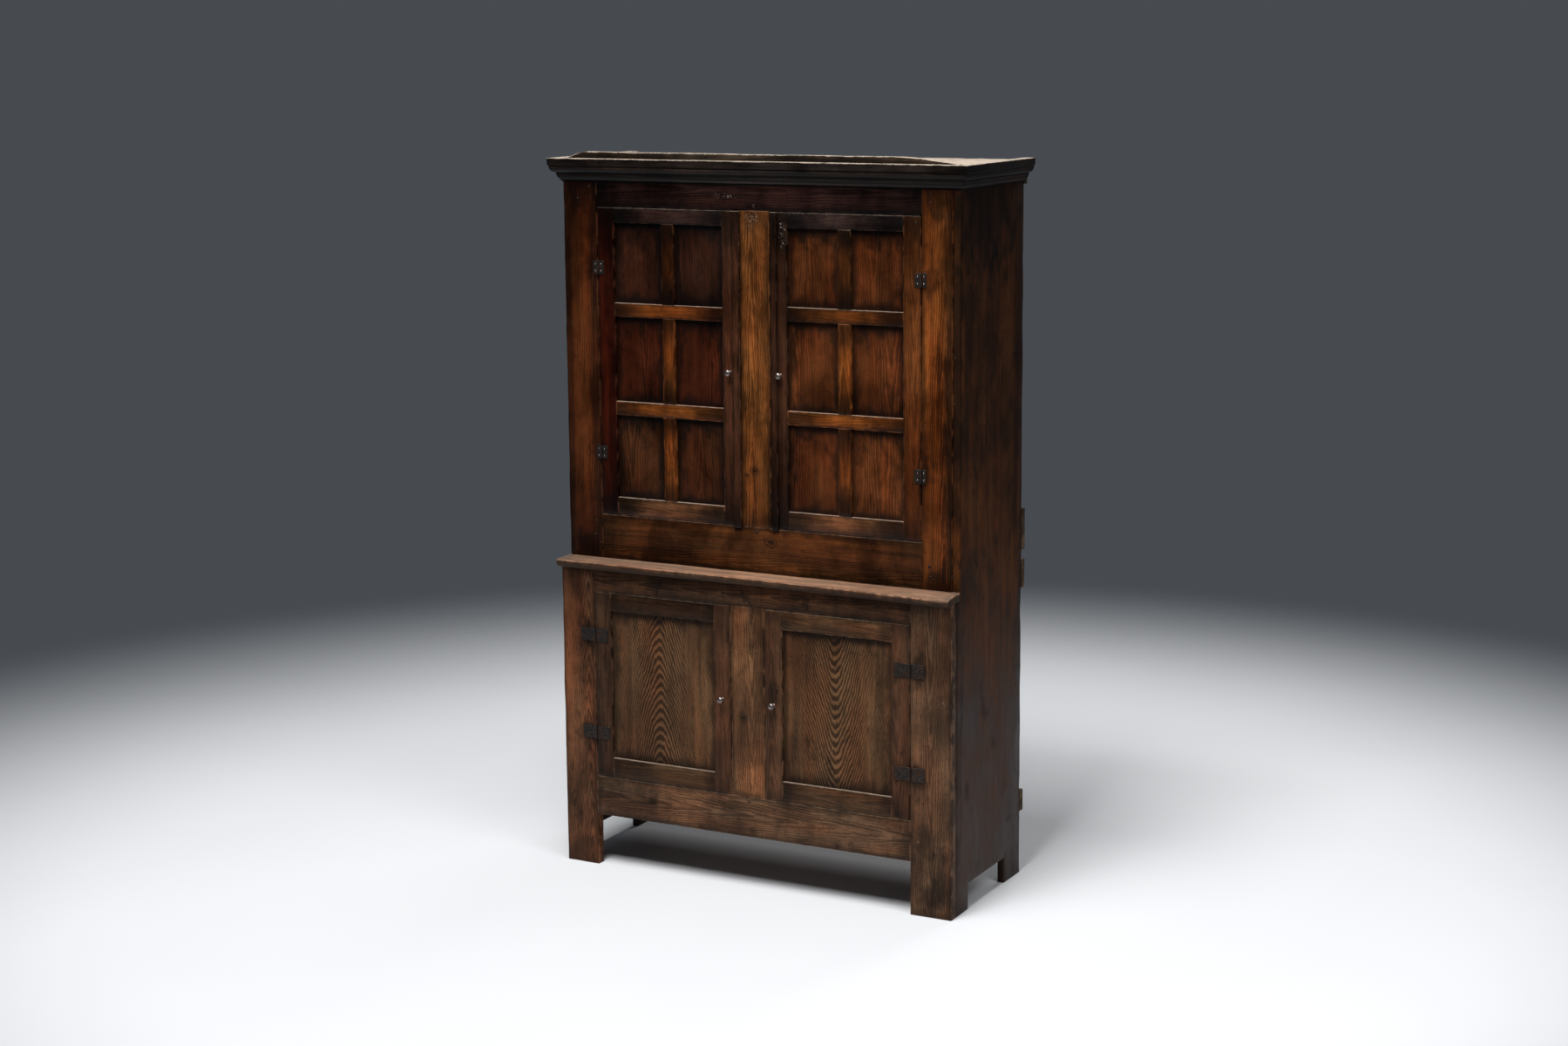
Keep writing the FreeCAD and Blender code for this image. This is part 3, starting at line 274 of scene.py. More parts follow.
NOISES = {
    "streak": Noise((2.2, 42.0, 42.0), 3.0, 0.6, 0.4),
    "fibre": Noise((9.0, 380.0, 380.0), 2.0, 0.6),
    "pore": Noise((34.0, 520.0, 520.0), low=0.55, high=0.68),
    "cloudy": Noise((30.0, 30.0, 16.0), 3.0, 0.62, low=0.30, high=0.70),
    "blotch": Noise((8.0, 8.0, 5.5), 4.0, 0.62, 0.3, low=0.32, high=0.68),
    "warm": Noise((3.0, 16.0, 16.0), low=0.35, high=0.65),
    "patch": Noise((17.0, 17.0, 11.0), 6.0, 0.68, low=0.56, high=0.70),
    "speck": Noise((210.0, 210.0, 150.0), low=0.60, high=0.72),
    "rub": Noise((48.0, 48.0, 30.0), 3.0, low=0.44, high=0.62),
    "scratch": Noise((110.0, 110.0, 160.0), 4.0, 0.75, 1.2, low=0.55, high=0.68),
    "broken": Noise((38.0, 38.0, 60.0), 4.0, 0.7, low=0.42, high=0.60),
    "settled": Noise((6.0, 17.0, 17.0), 5.0, 0.6, low=0.30, high=0.70),
    "ring_drift": Noise((7.0, 20.0, 20.0)),
    "ring_wobble": Noise((32.0, 120.0, 120.0), 1.0),
    "knot": Noise((1.4, 1.4, 1.4)),
    "mottle": Noise((260.0, 260.0, 260.0), 4.0, 0.65, low=0.35, high=0.65),
    "rust": Noise((70.0, 70.0, 70.0), 3.0, low=0.50, high=0.66),
    "floor": Noise((1.2, 1.2, 1.2), low=0.3, high=0.7),
}


class Tree:
    """A material's nodes, added and joined from left to right."""

    def __init__(self, name):
        self.material = bpy.data.materials.new(name)
        self.material.use_nodes = True
        self.nodes = self.material.node_tree.nodes
        self.links = self.material.node_tree.links
        self.nodes.clear()

    def add(self, kind, inputs=(), output=0, **settings):
        node = self.nodes.new("ShaderNode" + kind)
        for name, value in settings.items():
            setattr(node, name, value)
        for socket, value in dict(inputs).items():
            if isinstance(value, bpy.types.NodeSocket):
                self.links.new(value, node.inputs[socket])
            else:
                self.fill(node.inputs[socket], value)
        return node.outputs[output] if node.outputs else node

    def fill(self, socket, value):
        """Sets a socket, with a colour's fourth channel left off where it takes three."""
        if socket.type == "VECTOR":
            value = tuple(value)[:3]
        socket.default_value = value

    def calc(self, operation, *values):
        return self.add("Math", enumerate(values), operation=operation)

    def chain(self, operation, values):
        result, *others = values
        for value in others:
            result = self.calc(operation, result, value)
        return result

    def product(self, *values):
        return self.chain("MULTIPLY", values)

    def most(self, values):
        return self.chain("MAXIMUM", values)

    def swung(self, noise, amount, base):
        """A base value that a noise, whose middle is a half, moves up and down."""
        return self.calc("MULTIPLY_ADD", self.calc("SUBTRACT", noise, 0.5), amount, base)

    def split(self, vector):
        return tuple(self.add("SeparateXYZ", {0: vector}).node.outputs)

    def times(self, vector, factors):
        return self.add("VectorMath", {0: vector, 1: factors}, operation="MULTIPLY")

    def shifted(self, vector, factors, shift):
        return self.add("VectorMath", {0: vector, 1: factors, 2: shift},
                        operation="MULTIPLY_ADD")

    def scaled(self, paint, factor):
        return self.add("VectorMath", {0: paint, "Scale": factor}, operation="SCALE")

    def distance(self, vector):
        return self.add("VectorMath", {0: vector}, output="Value", operation="LENGTH")

    def noise(self, vector, name):
        kind = NOISES[name]
        return self.add("TexNoise", {"Vector": self.times(vector, kind.scale), "Scale": 1.0,
                                     "Detail": kind.detail, "Roughness": kind.roughness,
                                     "Distortion": kind.distortion})

    def spread(self, noise, name, start=0.0, end=1.0):
        """A noise drawn out between two values, over the span that its kind names."""
        return self.remap(noise, NOISES[name].low, NOISES[name].high, start, end)

    def mask(self, vector, name, start=0.0, end=1.0):
        return self.spread(self.noise(vector, name), name, start, end)

    def remap(self, value, low, high, start=0.0, end=1.0):
        return self.add("MapRange", {"Value": value, "From Min": low, "From Max": high,
                                     "To Min": start, "To Max": end},
                        interpolation_type="SMOOTHSTEP")

    def mix(self, factor, first, second):
        return self.add("Mix", {0: factor, 6: first, 7: second}, output=2, data_type="RGBA")

    def attribute(self, name, output="Vector"):
        return self.add("Attribute", output=output, attribute_type="GEOMETRY",
                        attribute_name=name)

    def surface(self, paint, roughness, bump=None, **others):
        """The material of a solid surface, bumped by strength, distance and height."""
        inputs = {"Base Color": paint, "Roughness": roughness}
        if bump:
            inputs["Normal"] = self.add("Bump", dict(zip(("Strength", "Distance", "Height"),
                                                         bump)))
        return self.add("BsdfPrincipled", {**inputs, **others})

    def finish(self, shader):
        self.add("OutputMaterial", {"Surface": shader})
        return self.material


# Share of a darkened border, grime and painted shade alike, over which it keeps its full strength;
# the second share is for a panel's painted shadow under its rail.
PLATEAU = 0.15
TOP_SHADOW_PLATEAU = 0.3
GROOVE_WIDTH = 0.0028
# Spots that reach at least this far up and down have soft edges, and others ragged ones.
LONG_SPOT = 1.0
# Depth below the top of the ledge at which its dark front starts.
SKIRT_DEPTH = 0.004
# Distances from a board's rim between which bare wood fades out.
BARE_RIM = (0.0004, 0.0032)
BARE_GAIN = 2.1
BARE_LIFT = (0.022, 0.015, 0.009)
# Factors for a colour's red, green and blue.
WARMER = (1.08, 0.94, 0.84)
COOLER = (0.97, 1.03, 1.02)
# Darkens for grime and stains, and for painted shade in recesses, grooves and under rails.
GRIME_AND_SHADE = (0.20, 0.24, 0.28)
# Lightens the cornice's beads: a painted highlight.
GLINT = (2.6, 2.2, 2.0)
PITTED = (0.45, 0.42, 0.40)
RUBBED = (1.5, 1.5, 1.5)
# Colours from 0 to 255.
HAZE = (58, 49, 45)
RUST = (74, 42, 26)
# Heights above the floor between which the haze fades out.
HAZE_HEIGHTS = (0.15, 0.95)
# How far boards lie apart in the pattern, along, across and in depth.
SCATTER = (31.0, 17.0, 11.0)
SCATTER_IN_DEPTH = (0.0, 0.0, 11.0)
# Strength and depth of the relief that materials show.
WOOD_RELIEF = (0.35, 0.0009)
METAL_RELIEF = (0.5, 0.0006)
# A knot's height against its width, and its rings to each of its widths.
KNOT_SQUASH = 1.35
KNOT_RINGS = 11.0


@dataclass
class Look:
    """How one set of boards has aged and where light and shade are painted on it: widths in metres,
    and strengths from 0 for none.
    """

    contrast: float = 0.55
    figure: float = 0.35
    ring: float = 0.0050
    # Painted highlight in the middle of a board's length.
    centre_highlight: float = 0.20
    haze: float = 0.0
    blotch: float = 0.5
    patches: float = 0.5
    specks: float = 0.5
    # Dark borders along a board's edges and ends: grime, and on panels painted shade in their
    # recess.
    edge_width: float = 0.014
    edge_grime_and_shade: float = 0.6
    end_width: float = 0.030
    end_grime_and_shade: float = 0.6
    # Painted shadow under the rail above a panel: its width and strength.
    top_shadow_width: float = 0.0
    top_shadow: float = 0.0
    worn: float = 0.4
    # Dust, and a painted highlight, on faces that look upwards.
    dust_and_highlight: float = 0.35
    # A pale line along a board's top arris, dust and a painted highlight, and that line's width.
    rim_dust_and_highlight: float = 0.0
    rim_width: float = 0.003
    skirt: float = 0.0
    # Depths of the painted shade lines in a moulding's grooves and of the painted highlights on its
    # beads.
    groove_shade: tuple = ()
    bead_highlights: tuple = ()
    halos: bool = False
    spots: tuple = ()
    spot_axis: int = 0
    scuffs: tuple = ()
    knots: tuple = ()
    roughness: float = 0.46
    sheen: float = 0.15


def spot_mask(tree, world, ragged, spots, axis=0):
    """How far each point lies inside any of the spots: place, half width, half height, strength."""
    masks = []
    for place, z, wide, high, strength in spots:
        factors, shift = [0.0, 0.0, 1 / high], [0.0, 0.0, -z / high]
        factors[axis] = 1 / wide
        shift[axis] = -place / wide
        distance = tree.product(tree.distance(tree.shifted(world, factors, shift)), ragged)
        masks.append(tree.remap(distance, 0.35, 1.05, strength, 0.0))
    return tree.most(masks)


def bands(tree, lid, places):
    """Level lines along a moulding, at given depths below its top."""
    lines = []
    for place in places:
        gap = tree.calc("ABSOLUTE", tree.calc("SUBTRACT", lid, place))
        lines.append(tree.remap(gap, GROOVE_WIDTH * 0.3, GROOVE_WIDTH, 1.0, 0.0))
    return tree.most(lines)


def knot_rings(tree, world, knots):
    """Dark knots with rings round them: place across, height and size."""
    masks = []
    for x, z, size in knots:
        offset = tree.shifted(world, (1 / size, 0.0, KNOT_SQUASH / size),
                              (-x / size, 0.0, -KNOT_SQUASH * z / size))
        bent = tree.swung(tree.noise(offset, "knot"), 0.9, tree.distance(offset))
        wave = tree.calc("SINE", tree.calc("MULTIPLY", bent, KNOT_RINGS))
        rings = tree.calc("MULTIPLY_ADD", wave, 0.38, 0.5)
        core = tree.remap(bent, 0.3, 0.5, 1.0, 0.0)
        masks.append(tree.product(tree.remap(bent, 0.45, 1.5, 1.0, 0.0),
                                  tree.most([rings, core])))
    return tree.most(masks)


def ring_lines(tree, place, figure, spacing):
    """Growth rings where a flat-sawn board cuts them: peaks along its heart, lines beside it."""
    along, across, _ = tree.split(place)
    centre, start, taper = tree.split(figure)
    side = tree.calc("SUBTRACT", across, centre)
    side = tree.swung(tree.noise(place, "ring_drift"), 0.022, side)
    square = tree.calc("MULTIPLY", side, side)
    bowed = tree.calc("SQRT", tree.calc("MULTIPLY_ADD", start, start, square))
    radius = tree.calc("MULTIPLY_ADD", along, taper, bowed)
    radius = tree.swung(tree.noise(place, "ring_wobble"), spacing * 0.55, radius)
    turn = tree.calc("FRACT", tree.calc("DIVIDE", radius, spacing))
    late = tree.remap(turn, 0.0, 0.72)
    early = tree.remap(turn, 0.80, 1.0, 1.0, 0.0)
    line = tree.calc("SUBTRACT", tree.calc("MINIMUM", late, early), 0.5)
    return tree.product(line, tree.remap(tree.calc("ABSOLUTE", side), 0.020, 0.090, 1.0, 0.22))


def oak(name, look):
    """Worn oak: a board's own colour, streaked along its grain, grimed, rubbed and dusty, with
    painted shade and painted highlights laid over it.
    """
    tree = Tree(name)
    wood = tree.attribute("wood", "Color")
    place = tree.attribute("place")
    figure = tree.attribute("figure")
    lid = tree.attribute("lid", "Fac")
    world = tree.add("TexCoord", output="Object")
    along, across, _ = tree.split(place)
    half_along, half_across, chance = tree.split(tree.attribute("reach"))
    own = tree.shifted(chance, SCATTER, place)
    dust_and_highlight = opaque(colour("dust_and_highlight"))

    cloudy = tree.noise(world, "cloudy")
    ragged = tree.spread(cloudy, "cloudy", 0.55, 1.6)
    calm = tree.spread(cloudy, "cloudy", 0.85, 1.2)

    rings = ring_lines(tree, tree.shifted(chance, SCATTER_IN_DEPTH, place), figure, look.ring)
    tone = tree.swung(tree.noise(own, "streak"), 1.3, 0.5)
    tone = tree.swung(tree.noise(own, "fibre"), 0.55, tone)
    tone = tree.calc("MULTIPLY_ADD", rings, -look.figure, tone)
    bright = tree.remap(tone, 0.05, 0.95, 1.0 - look.contrast, 1.0 + look.contrast * 1.15)
    paint = tree.scaled(wood, bright)
    # Painted highlight: each board lighter in the middle of its length and darker towards its ends.
    reached = tree.calc("DIVIDE", tree.calc("ABSOLUTE", along), half_along)
    paint = tree.scaled(paint, tree.remap(reached, 0.1, 1.0, 1.0 + look.centre_highlight,
                                          1.0 - look.centre_highlight * 0.8))
    blotch = tree.noise(world, "blotch")
    paint = tree.scaled(paint, tree.spread(blotch, "blotch", 1.0 - 0.55 * look.blotch,
                                           1.0 + 0.45 * look.blotch))
    paint = tree.mix(tree.mask(own, "warm"), tree.times(paint, WARMER),
                     tree.times(paint, COOLER))

    edge_room = tree.calc("SUBTRACT", half_across, tree.calc("ABSOLUTE", across))
    end_room = tree.calc("SUBTRACT", half_along, tree.calc("ABSOLUTE", along))

    def grime_and_shade(room, width, amount, plateau=PLATEAU):
        """Grime, and on panels painted shade in their recess, darkest where no room is left to a
        rim.
        """
        return tree.remap(tree.product(room, ragged), width * plateau, width, amount, 0.0)

    patch = tree.noise(world, "patch")
    pores = tree.mask(own, "pore", 0.0, look.specks * 0.8)
    # Dark borders along edges and ends: grime, and on the panels painted shade in their recess.
    marks = [grime_and_shade(edge_room, look.edge_width, look.edge_grime_and_shade),
             grime_and_shade(end_room, look.end_width, look.end_grime_and_shade),
             tree.spread(patch, "patch", 0.0, look.patches),
             tree.mask(world, "speck", 0.0, look.specks), pores]
    # Painted shadow under the rail above a panel, darkest at its top.
    if look.top_shadow:
        marks.append(grime_and_shade(lid, look.top_shadow_width, look.top_shadow, TOP_SHADOW_PLATEAU))
    spots = [*(hinge_halos() if look.halos else ()), *look.spots]
    long_spots = [spot for spot in spots if spot[3] >= LONG_SPOT]
    round_spots = [spot for spot in spots if spot[3] < LONG_SPOT]
    for border, chosen in ((calm, long_spots), (ragged, round_spots)):
        if chosen:
            marks.append(spot_mask(tree, world, border, chosen, look.spot_axis))
    if look.knots:
        marks.append(knot_rings(tree, world, look.knots))
    if look.skirt:
        marks.append(tree.remap(tree.product(lid, calm), SKIRT_DEPTH * 0.8, SKIRT_DEPTH * 1.3,
                                0.0, look.skirt))
    # Painted shade in the moulding's grooves and painted highlights on its beads.
    if look.groove_shade:
        paint = tree.mix(bands(tree, lid, look.bead_highlights), paint, tree.times(paint, GLINT))
        marks.append(bands(tree, lid, look.groove_shade))
    # Grime, stains and knots darken the paint here together with the painted shade.
    dark = tree.most(marks)
    paint = tree.mix(dark, paint, tree.times(paint, GRIME_AND_SHADE))

    rim = tree.calc("MINIMUM", edge_room, end_room)
    worn = tree.product(tree.remap(rim, *BARE_RIM, look.worn, 0.0), tree.mask(world, "rub"))
    if look.skirt:
        worn = tree.product(worn, tree.remap(lid, SKIRT_DEPTH * 0.6, SKIRT_DEPTH, 1.0, 0.06))
    bare = tree.add("VectorMath", {0: tree.scaled(wood, BARE_GAIN), 1: BARE_LIFT},
                    operation="ADD")
    paint = tree.mix(worn, paint, bare)
    if look.scuffs:
        scuffed = tree.product(spot_mask(tree, world, ragged, look.scuffs),
                               tree.mask(world, "scratch", 0.0, 0.8))
        paint = tree.mix(scuffed, paint, dust_and_highlight)
    if look.haze:
        haze = tree.remap(tree.split(world)[2], *HAZE_HEIGHTS, look.haze, 0.0)
        paint = tree.mix(tree.product(haze, ragged), paint, opaque(painted(*HAZE)))
    # A pale line along a board's top arris: dust and a painted highlight.
    if look.rim_dust_and_highlight:
        rim_line = tree.remap(lid, look.rim_width * 0.4, look.rim_width, look.rim_dust_and_highlight, 0.0)
        paint = tree.mix(tree.product(rim_line, tree.mask(world, "broken")), paint, dust_and_highlight)
    # Dust, and a painted highlight from overhead light, on faces that look upwards.
    upward = tree.split(tree.add("NewGeometry", output="Normal"))[2]
    dust_and_highlight_mask = tree.product(tree.remap(upward, 0.45, 0.9, 0.0, look.dust_and_highlight),
                         tree.mask(world, "settled", 0.62, 1.0))
    paint = tree.mix(dust_and_highlight_mask, paint, dust_and_highlight)

    rough = tree.swung(blotch, 0.5, look.roughness)
    rough = tree.calc("MULTIPLY_ADD", dark, 0.10, rough)
    rough = tree.calc("MULTIPLY_ADD", dust_and_highlight_mask, 0.35, rough)
    height = tree.calc("MULTIPLY_ADD", pores, -0.6, tree.product(tone, 0.5))
    height = tree.calc("MULTIPLY_ADD", patch, 0.5, height)
    return tree.finish(tree.surface(paint, rough, (*WOOD_RELIEF, height),
                                    **{"Specular IOR Level": look.sheen}))


def metal(name, paint_name, polish, roughness, rust):
    """Old metal: mottled, pitted and rubbed bright in places."""
    tree = Tree(name)
    world = tree.add("TexCoord", output="Object")
    base = opaque(colour(paint_name))
    mottle = tree.noise(world, "mottle")
    paint = tree.mix(tree.spread(mottle, "mottle"), tree.times(base, PITTED),
                     tree.times(base, RUBBED))
    paint = tree.mix(tree.mask(world, "rust", 0.0, rust), paint, opaque(painted(*RUST)))
    rough = tree.spread(mottle, "mottle", roughness + 0.14, roughness - 0.10)
    return tree.finish(tree.surface(paint, rough, (*METAL_RELIEF, mottle), Metallic=polish))


# Depths of the cornice's grooves, where shade is painted, and of its beads, where highlights are
# painted.
CORNICE_GROOVE_SHADE = (0.0205, 0.0385, 0.0490, 0.0585)
CORNICE_BEAD_HIGHLIGHTS = (0.0245, 0.0435, 0.0545)

# Spots are given as place across, height, half width, half height and strength.
UPPER_FRAME_SPOTS = [
    (-0.008, 1.776, 0.052, 0.036, 0.8), (0.512, 1.40, 0.006, 0.18, 0.7),
    (0.494, 1.63, 0.005, 0.14, 0.7), (0.474, 1.66, 0.004, 0.10, 0.7),
    (-0.570, 1.30, 0.030, 1.60, 0.85), (-0.476, 1.30, 0.030, 1.60, 0.80),
    (-0.520, 0.87, 0.050, 0.05, 0.8), (-0.520, 1.82, 0.070, 0.07, 0.85),
    (0.557, 1.36, 0.045, 1.70, 0.97), (0.512, 1.840, 0.090, 0.110, 0.85),
    (0.505, 0.86, 0.060, 0.05, 0.85),
    (0.25, 0.862, 0.20, 0.020, 0.5), (-0.30, 0.870, 0.16, 0.018, 0.5),
]
UPPER_SCUFFS = [(-0.0087, 1.7566, 0.034, 0.026, 0.6), (-0.085, 1.812, 0.045, 0.012, 0.5)]
UPPER_DOOR_SCUFFS = [(0.081, 1.715, 0.010, 0.060, 1.0), (0.12, 1.772, 0.060, 0.008, 0.8)]
LOWER_FRAME_SPOTS = [
    (0.500, 0.215, 0.036, 0.050, 0.6), (0.519, 0.0587, 0.055, 0.050, 0.75),
    (-0.022, 0.46, 0.020, 0.030, 0.6), (-0.30, 0.20, 0.030, 0.022, 0.7),
    (-0.52, 0.04, 0.060, 0.060, 0.6), (-0.52, 0.76, 0.050, 0.05, 0.6),
    (0.10, 0.235, 0.10, 0.012, 0.6), (-0.42, 0.13, 0.05, 0.03, 0.5),
]
LOWER_SCUFFS = [(0.5431, 0.560, 0.016, 0.010, 0.6)]
UPPER_KNOTS = [(0.0384, 0.922, 0.024), (-0.006, 1.106, 0.017), (-0.029, 1.093, 0.012)]
LOWER_KNOTS = [(-0.022, 0.46, 0.016), (0.250, 0.150, 0.014)]
LOWER_DOOR_SPOTS = [(0.0785, 0.545, 0.022, 0.036, 0.60), (0.4207, 0.6296, 0.030, 0.030, 0.5)]
# On the side planks the first figure is the place from front to back.
SIDE_SPOTS = [
    (-0.124, 0.312, 0.020, 0.030, 0.8), (-0.160, 0.42, 0.016, 0.40, 0.75),
    # Painted shadow: the dark strip along the side's front edge above the ledge, where it meets the
    # stile.
    (-0.172, 1.36, 0.016, 0.60, 0.9),
    (0.162, 0.170, 0.055, 0.006, 0.8), (0.194, 0.232, 0.026, 0.006, 0.8),
    (0.020, 1.84, 0.320, 0.28, 0.92), (0.196, 1.50, 0.040, 0.60, 0.75),
    (0.180, 1.20, 0.060, 0.42, 0.45), (-0.140, 1.30, 0.030, 0.45, 0.55),
]

OAKS = {
    "upper_frame_oak": Look(
        contrast=0.66, figure=0.40, blotch=1.05, edge_width=0.020, edge_grime_and_shade=0.85,
        end_width=0.09, worn=0.45, roughness=0.32, sheen=0.12, halos=True,
        spots=UPPER_FRAME_SPOTS, scuffs=UPPER_SCUFFS, knots=UPPER_KNOTS),
    "upper_door_oak": Look(
        contrast=0.62, figure=0.2, blotch=0.8, patches=0.45, specks=0.3, centre_highlight=0.55,
        edge_width=0.009, edge_grime_and_shade=0.7, end_width=0.13, end_grime_and_shade=0.75, worn=0.55,
        dust_and_highlight=0.45, rim_dust_and_highlight=0.12, rim_width=0.002, roughness=0.30, sheen=0.14,
        scuffs=UPPER_DOOR_SCUFFS),
    # Upper panels: dark borders partly grime and partly painted shade in their recess, and a
    # painted shadow under the rail at the top.
    "upper_panel_oak": Look(
        contrast=0.45, figure=0.5, ring=0.0062, blotch=1.0, patches=0.6, specks=0.25,
        edge_width=0.030, edge_grime_and_shade=0.9, end_width=0.034, end_grime_and_shade=0.9, top_shadow_width=0.080,
        top_shadow=0.95, worn=0.0, roughness=0.32, sheen=0.14),
    "lower_frame_oak": Look(
        contrast=0.50, figure=0.5, blotch=0.95, patches=0.85, specks=0.8, centre_highlight=0.1,
        edge_width=0.016, edge_grime_and_shade=0.65, worn=0.5, roughness=0.50, sheen=0.10, halos=True,
        spots=LOWER_FRAME_SPOTS, scuffs=LOWER_SCUFFS, knots=LOWER_KNOTS),
    "lower_door_oak": Look(
        figure=0.25, blotch=0.7, patches=0.6, specks=0.6, centre_highlight=0.1, edge_width=0.008,
        end_width=0.06, worn=0.6, dust_and_highlight=0.4, rim_dust_and_highlight=0.1, rim_width=0.002, sheen=0.10,
        spots=LOWER_DOOR_SPOTS),
    # Lower panels: dark borders partly grime and partly painted shade in their recess, and a
    # painted shadow under the rail at the top.
    "lower_panel_oak": Look(
        figure=1.7, ring=0.0060, blotch=0.55, patches=0.7, specks=0.8, centre_highlight=0.1,
        edge_width=0.026, edge_grime_and_shade=0.8, end_width=0.036, end_grime_and_shade=0.85, top_shadow_width=0.055,
        top_shadow=0.85, worn=0.0, roughness=0.50, sheen=0.10),
    "side_oak": Look(
        contrast=0.42, ring=0.007, blotch=1.0, patches=0.8, haze=0.45, edge_width=0.030,
        edge_grime_and_shade=0.75, end_width=0.07, roughness=0.48, sheen=0.09, spots=SIDE_SPOTS,
        spot_axis=1),
    "ledge_oak": Look(
        contrast=0.5, figure=0.3, worn=0.9, edge_width=0.006, edge_grime_and_shade=0.2, dust_and_highlight=0.14,
        skirt=0.97, roughness=0.62),
    "cornice_oak": Look(
        contrast=0.8, figure=0.1, blotch=0.9, patches=0.3, worn=0.05, edge_width=0.004,
        edge_grime_and_shade=0.2, dust_and_highlight=0.82, rim_dust_and_highlight=0.8, rim_width=0.0022, groove_shade=CORNICE_GROOVE_SHADE,
        bead_highlights=CORNICE_BEAD_HIGHLIGHTS, roughness=0.38, sheen=0.12),
    "inside_oak": Look(contrast=0.45, figure=0.5, ring=0.006, dust_and_highlight=0.2, roughness=0.70),
    "back_oak": Look(
        contrast=0.5, figure=0.5, ring=0.007, blotch=0.7, patches=0.7, dust_and_highlight=0.3,
        roughness=0.75),
    "peg_oak": Look(
        contrast=0.4, figure=0.1, edge_width=0.001, end_width=0.001, edge_grime_and_shade=0.8,
        end_grime_and_shade=0.2, roughness=0.45),
}
# Colour, share of metal, roughness and rust.
METALS = {
    "wrought_iron": ("iron", 0.75, 0.50, 0.55),
    "knob_metal": ("knob", 1.0, 0.36, 0.10),
}
FINISHES = {}


def finish_for(slot):
    """The material of one of the record's slots, made when it is first asked for."""
    if slot not in FINISHES:
        FINISHES[slot] = metal(slot, *METALS[slot]) if slot in METALS else oak(slot, OAKS[slot])
    return FINISHES[slot]


# Half width, half height and strength of the grease round a hinge leaf.
HALO = (0.042, 0.060, 0.85)


def hinge_halos():
    """Spots of old grease, one to each of the frame's hinge leaves."""
    return [((low.x + high.x) / 2, (low.z + high.z) / 2, *HALO)
            for low, high in solids("frame_hinge_leaves")]


# Choosing and shaping in edit mode

def only(piece):
    """Makes one object the selected and active one."""
    bpy.ops.object.select_all(action="DESELECT")
    piece.select_set(True)
    bpy.context.view_layer.objects.active = piece


@contextmanager
def editing(piece):
    """Edit mode on one object, and object mode again afterwards."""
    only(piece)
    bpy.ops.object.mode_set(mode="EDIT")
    yield
    bpy.ops.object.mode_set(mode="OBJECT")


def choose(piece, kind, test):
    """In edit mode, selects the faces, edges or corners that pass a test, and nothing else."""
    bpy.ops.mesh.select_mode(type=kind)
    bpy.ops.mesh.select_all(action="DESELECT")
    form = bmesh.from_edit_mesh(piece.data)
    items = {"FACE": form.faces, "EDGE": form.edges, "VERT": form.verts}[kind]
    count = 0
    for item in items:
        if test(item):
            item.select_set(True)
            count += 1
    form.select_flush_mode()
    bmesh.update_edit_mesh(piece.data)
    return count


def solids(node):
    """Boxes of a CAD node's separate solids, from left to right and then upwards."""
    form = bmesh.new()
    form.from_mesh(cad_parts[node].data)
    bmesh.ops.remove_doubles(form, verts=form.verts, dist=MERGED)
    waiting = set(form.verts)
    boxes = []
    while waiting:
        reached = [waiting.pop()]
        for corner in reached:
            for edge in corner.link_edges:
                other = edge.other_vert(corner)
                if other in waiting:
                    waiting.remove(other)
                    reached.append(other)
        places = [corner.co for corner in reached]
        boxes.append((Vector(min(p[k] for p in places) for k in range(3)),
                      Vector(max(p[k] for p in places) for k in range(3))))
    form.free()
    return sorted(boxes, key=lambda box: (round(box[0].x, 3), round(box[0].z, 3)))


def on_axis(axis, value, others=0.0):
    """Three figures that are alike but for one axis."""
    return [value if k == axis else others for k in range(3)]


def add_form(name, operator, **settings):
    """Adds a mesh with one of Blender's own operators, and applies its place and size."""
    bpy.ops.object.select_all(action="DESELECT")
    operator(**settings)
    piece = bpy.context.active_object
    piece.name = name
    bpy.ops.object.transform_apply(location=True, rotation=True, scale=True)
    return piece


def start_block(name, low, high):
    """A squared blank between two corners."""
    return add_form(name, bpy.ops.mesh.primitive_cube_add, size=1, location=(low + high) / 2,
                    scale=high - low)


def apply_modifier(piece, kind, **settings):
    only(piece)
    modifier = piece.modifiers.new(kind.title(), kind)
    for name, value in settings.items():
        setattr(modifier, name, value)
    bpy.ops.object.modifier_apply(modifier=modifier.name)


def ease(piece, width, segments=2):
    """Rounds the sharp edges of a form."""
    apply_modifier(piece, "BEVEL", width=width, segments=segments, limit_method="ANGLE")


def cut_out(piece, cutter):
    """Takes a cutter's form out of a piece, and removes the cutter."""
    apply_modifier(piece, "BOOLEAN", object=cutter, operation="DIFFERENCE", solver="EXACT")
    bpy.data.objects.remove(cutter)


def displace(piece, group, strength, middle=1.0, direction="NORMAL", texture=None):
    """Moves a group's corners by how far a texture, or white without one, is from a middle."""
    apply_modifier(piece, "DISPLACE", texture=texture, texture_coords="LOCAL",
                   direction=direction, mid_level=middle, strength=strength,
                   vertex_group=group)


def add_tenons(piece, axis, amount, shoulder):
    """Draws a tenon out of each end of a rail or stile."""
    with editing(piece):
        for way in (-1, 1):
            choose(piece, "FACE", lambda face: face.normal[axis] * way > FACING)
            bpy.ops.mesh.inset(thickness=shoulder)
            bpy.ops.mesh.extrude_region_move(
                TRANSFORM_OT_translate={"value": on_axis(axis, amount * way)})


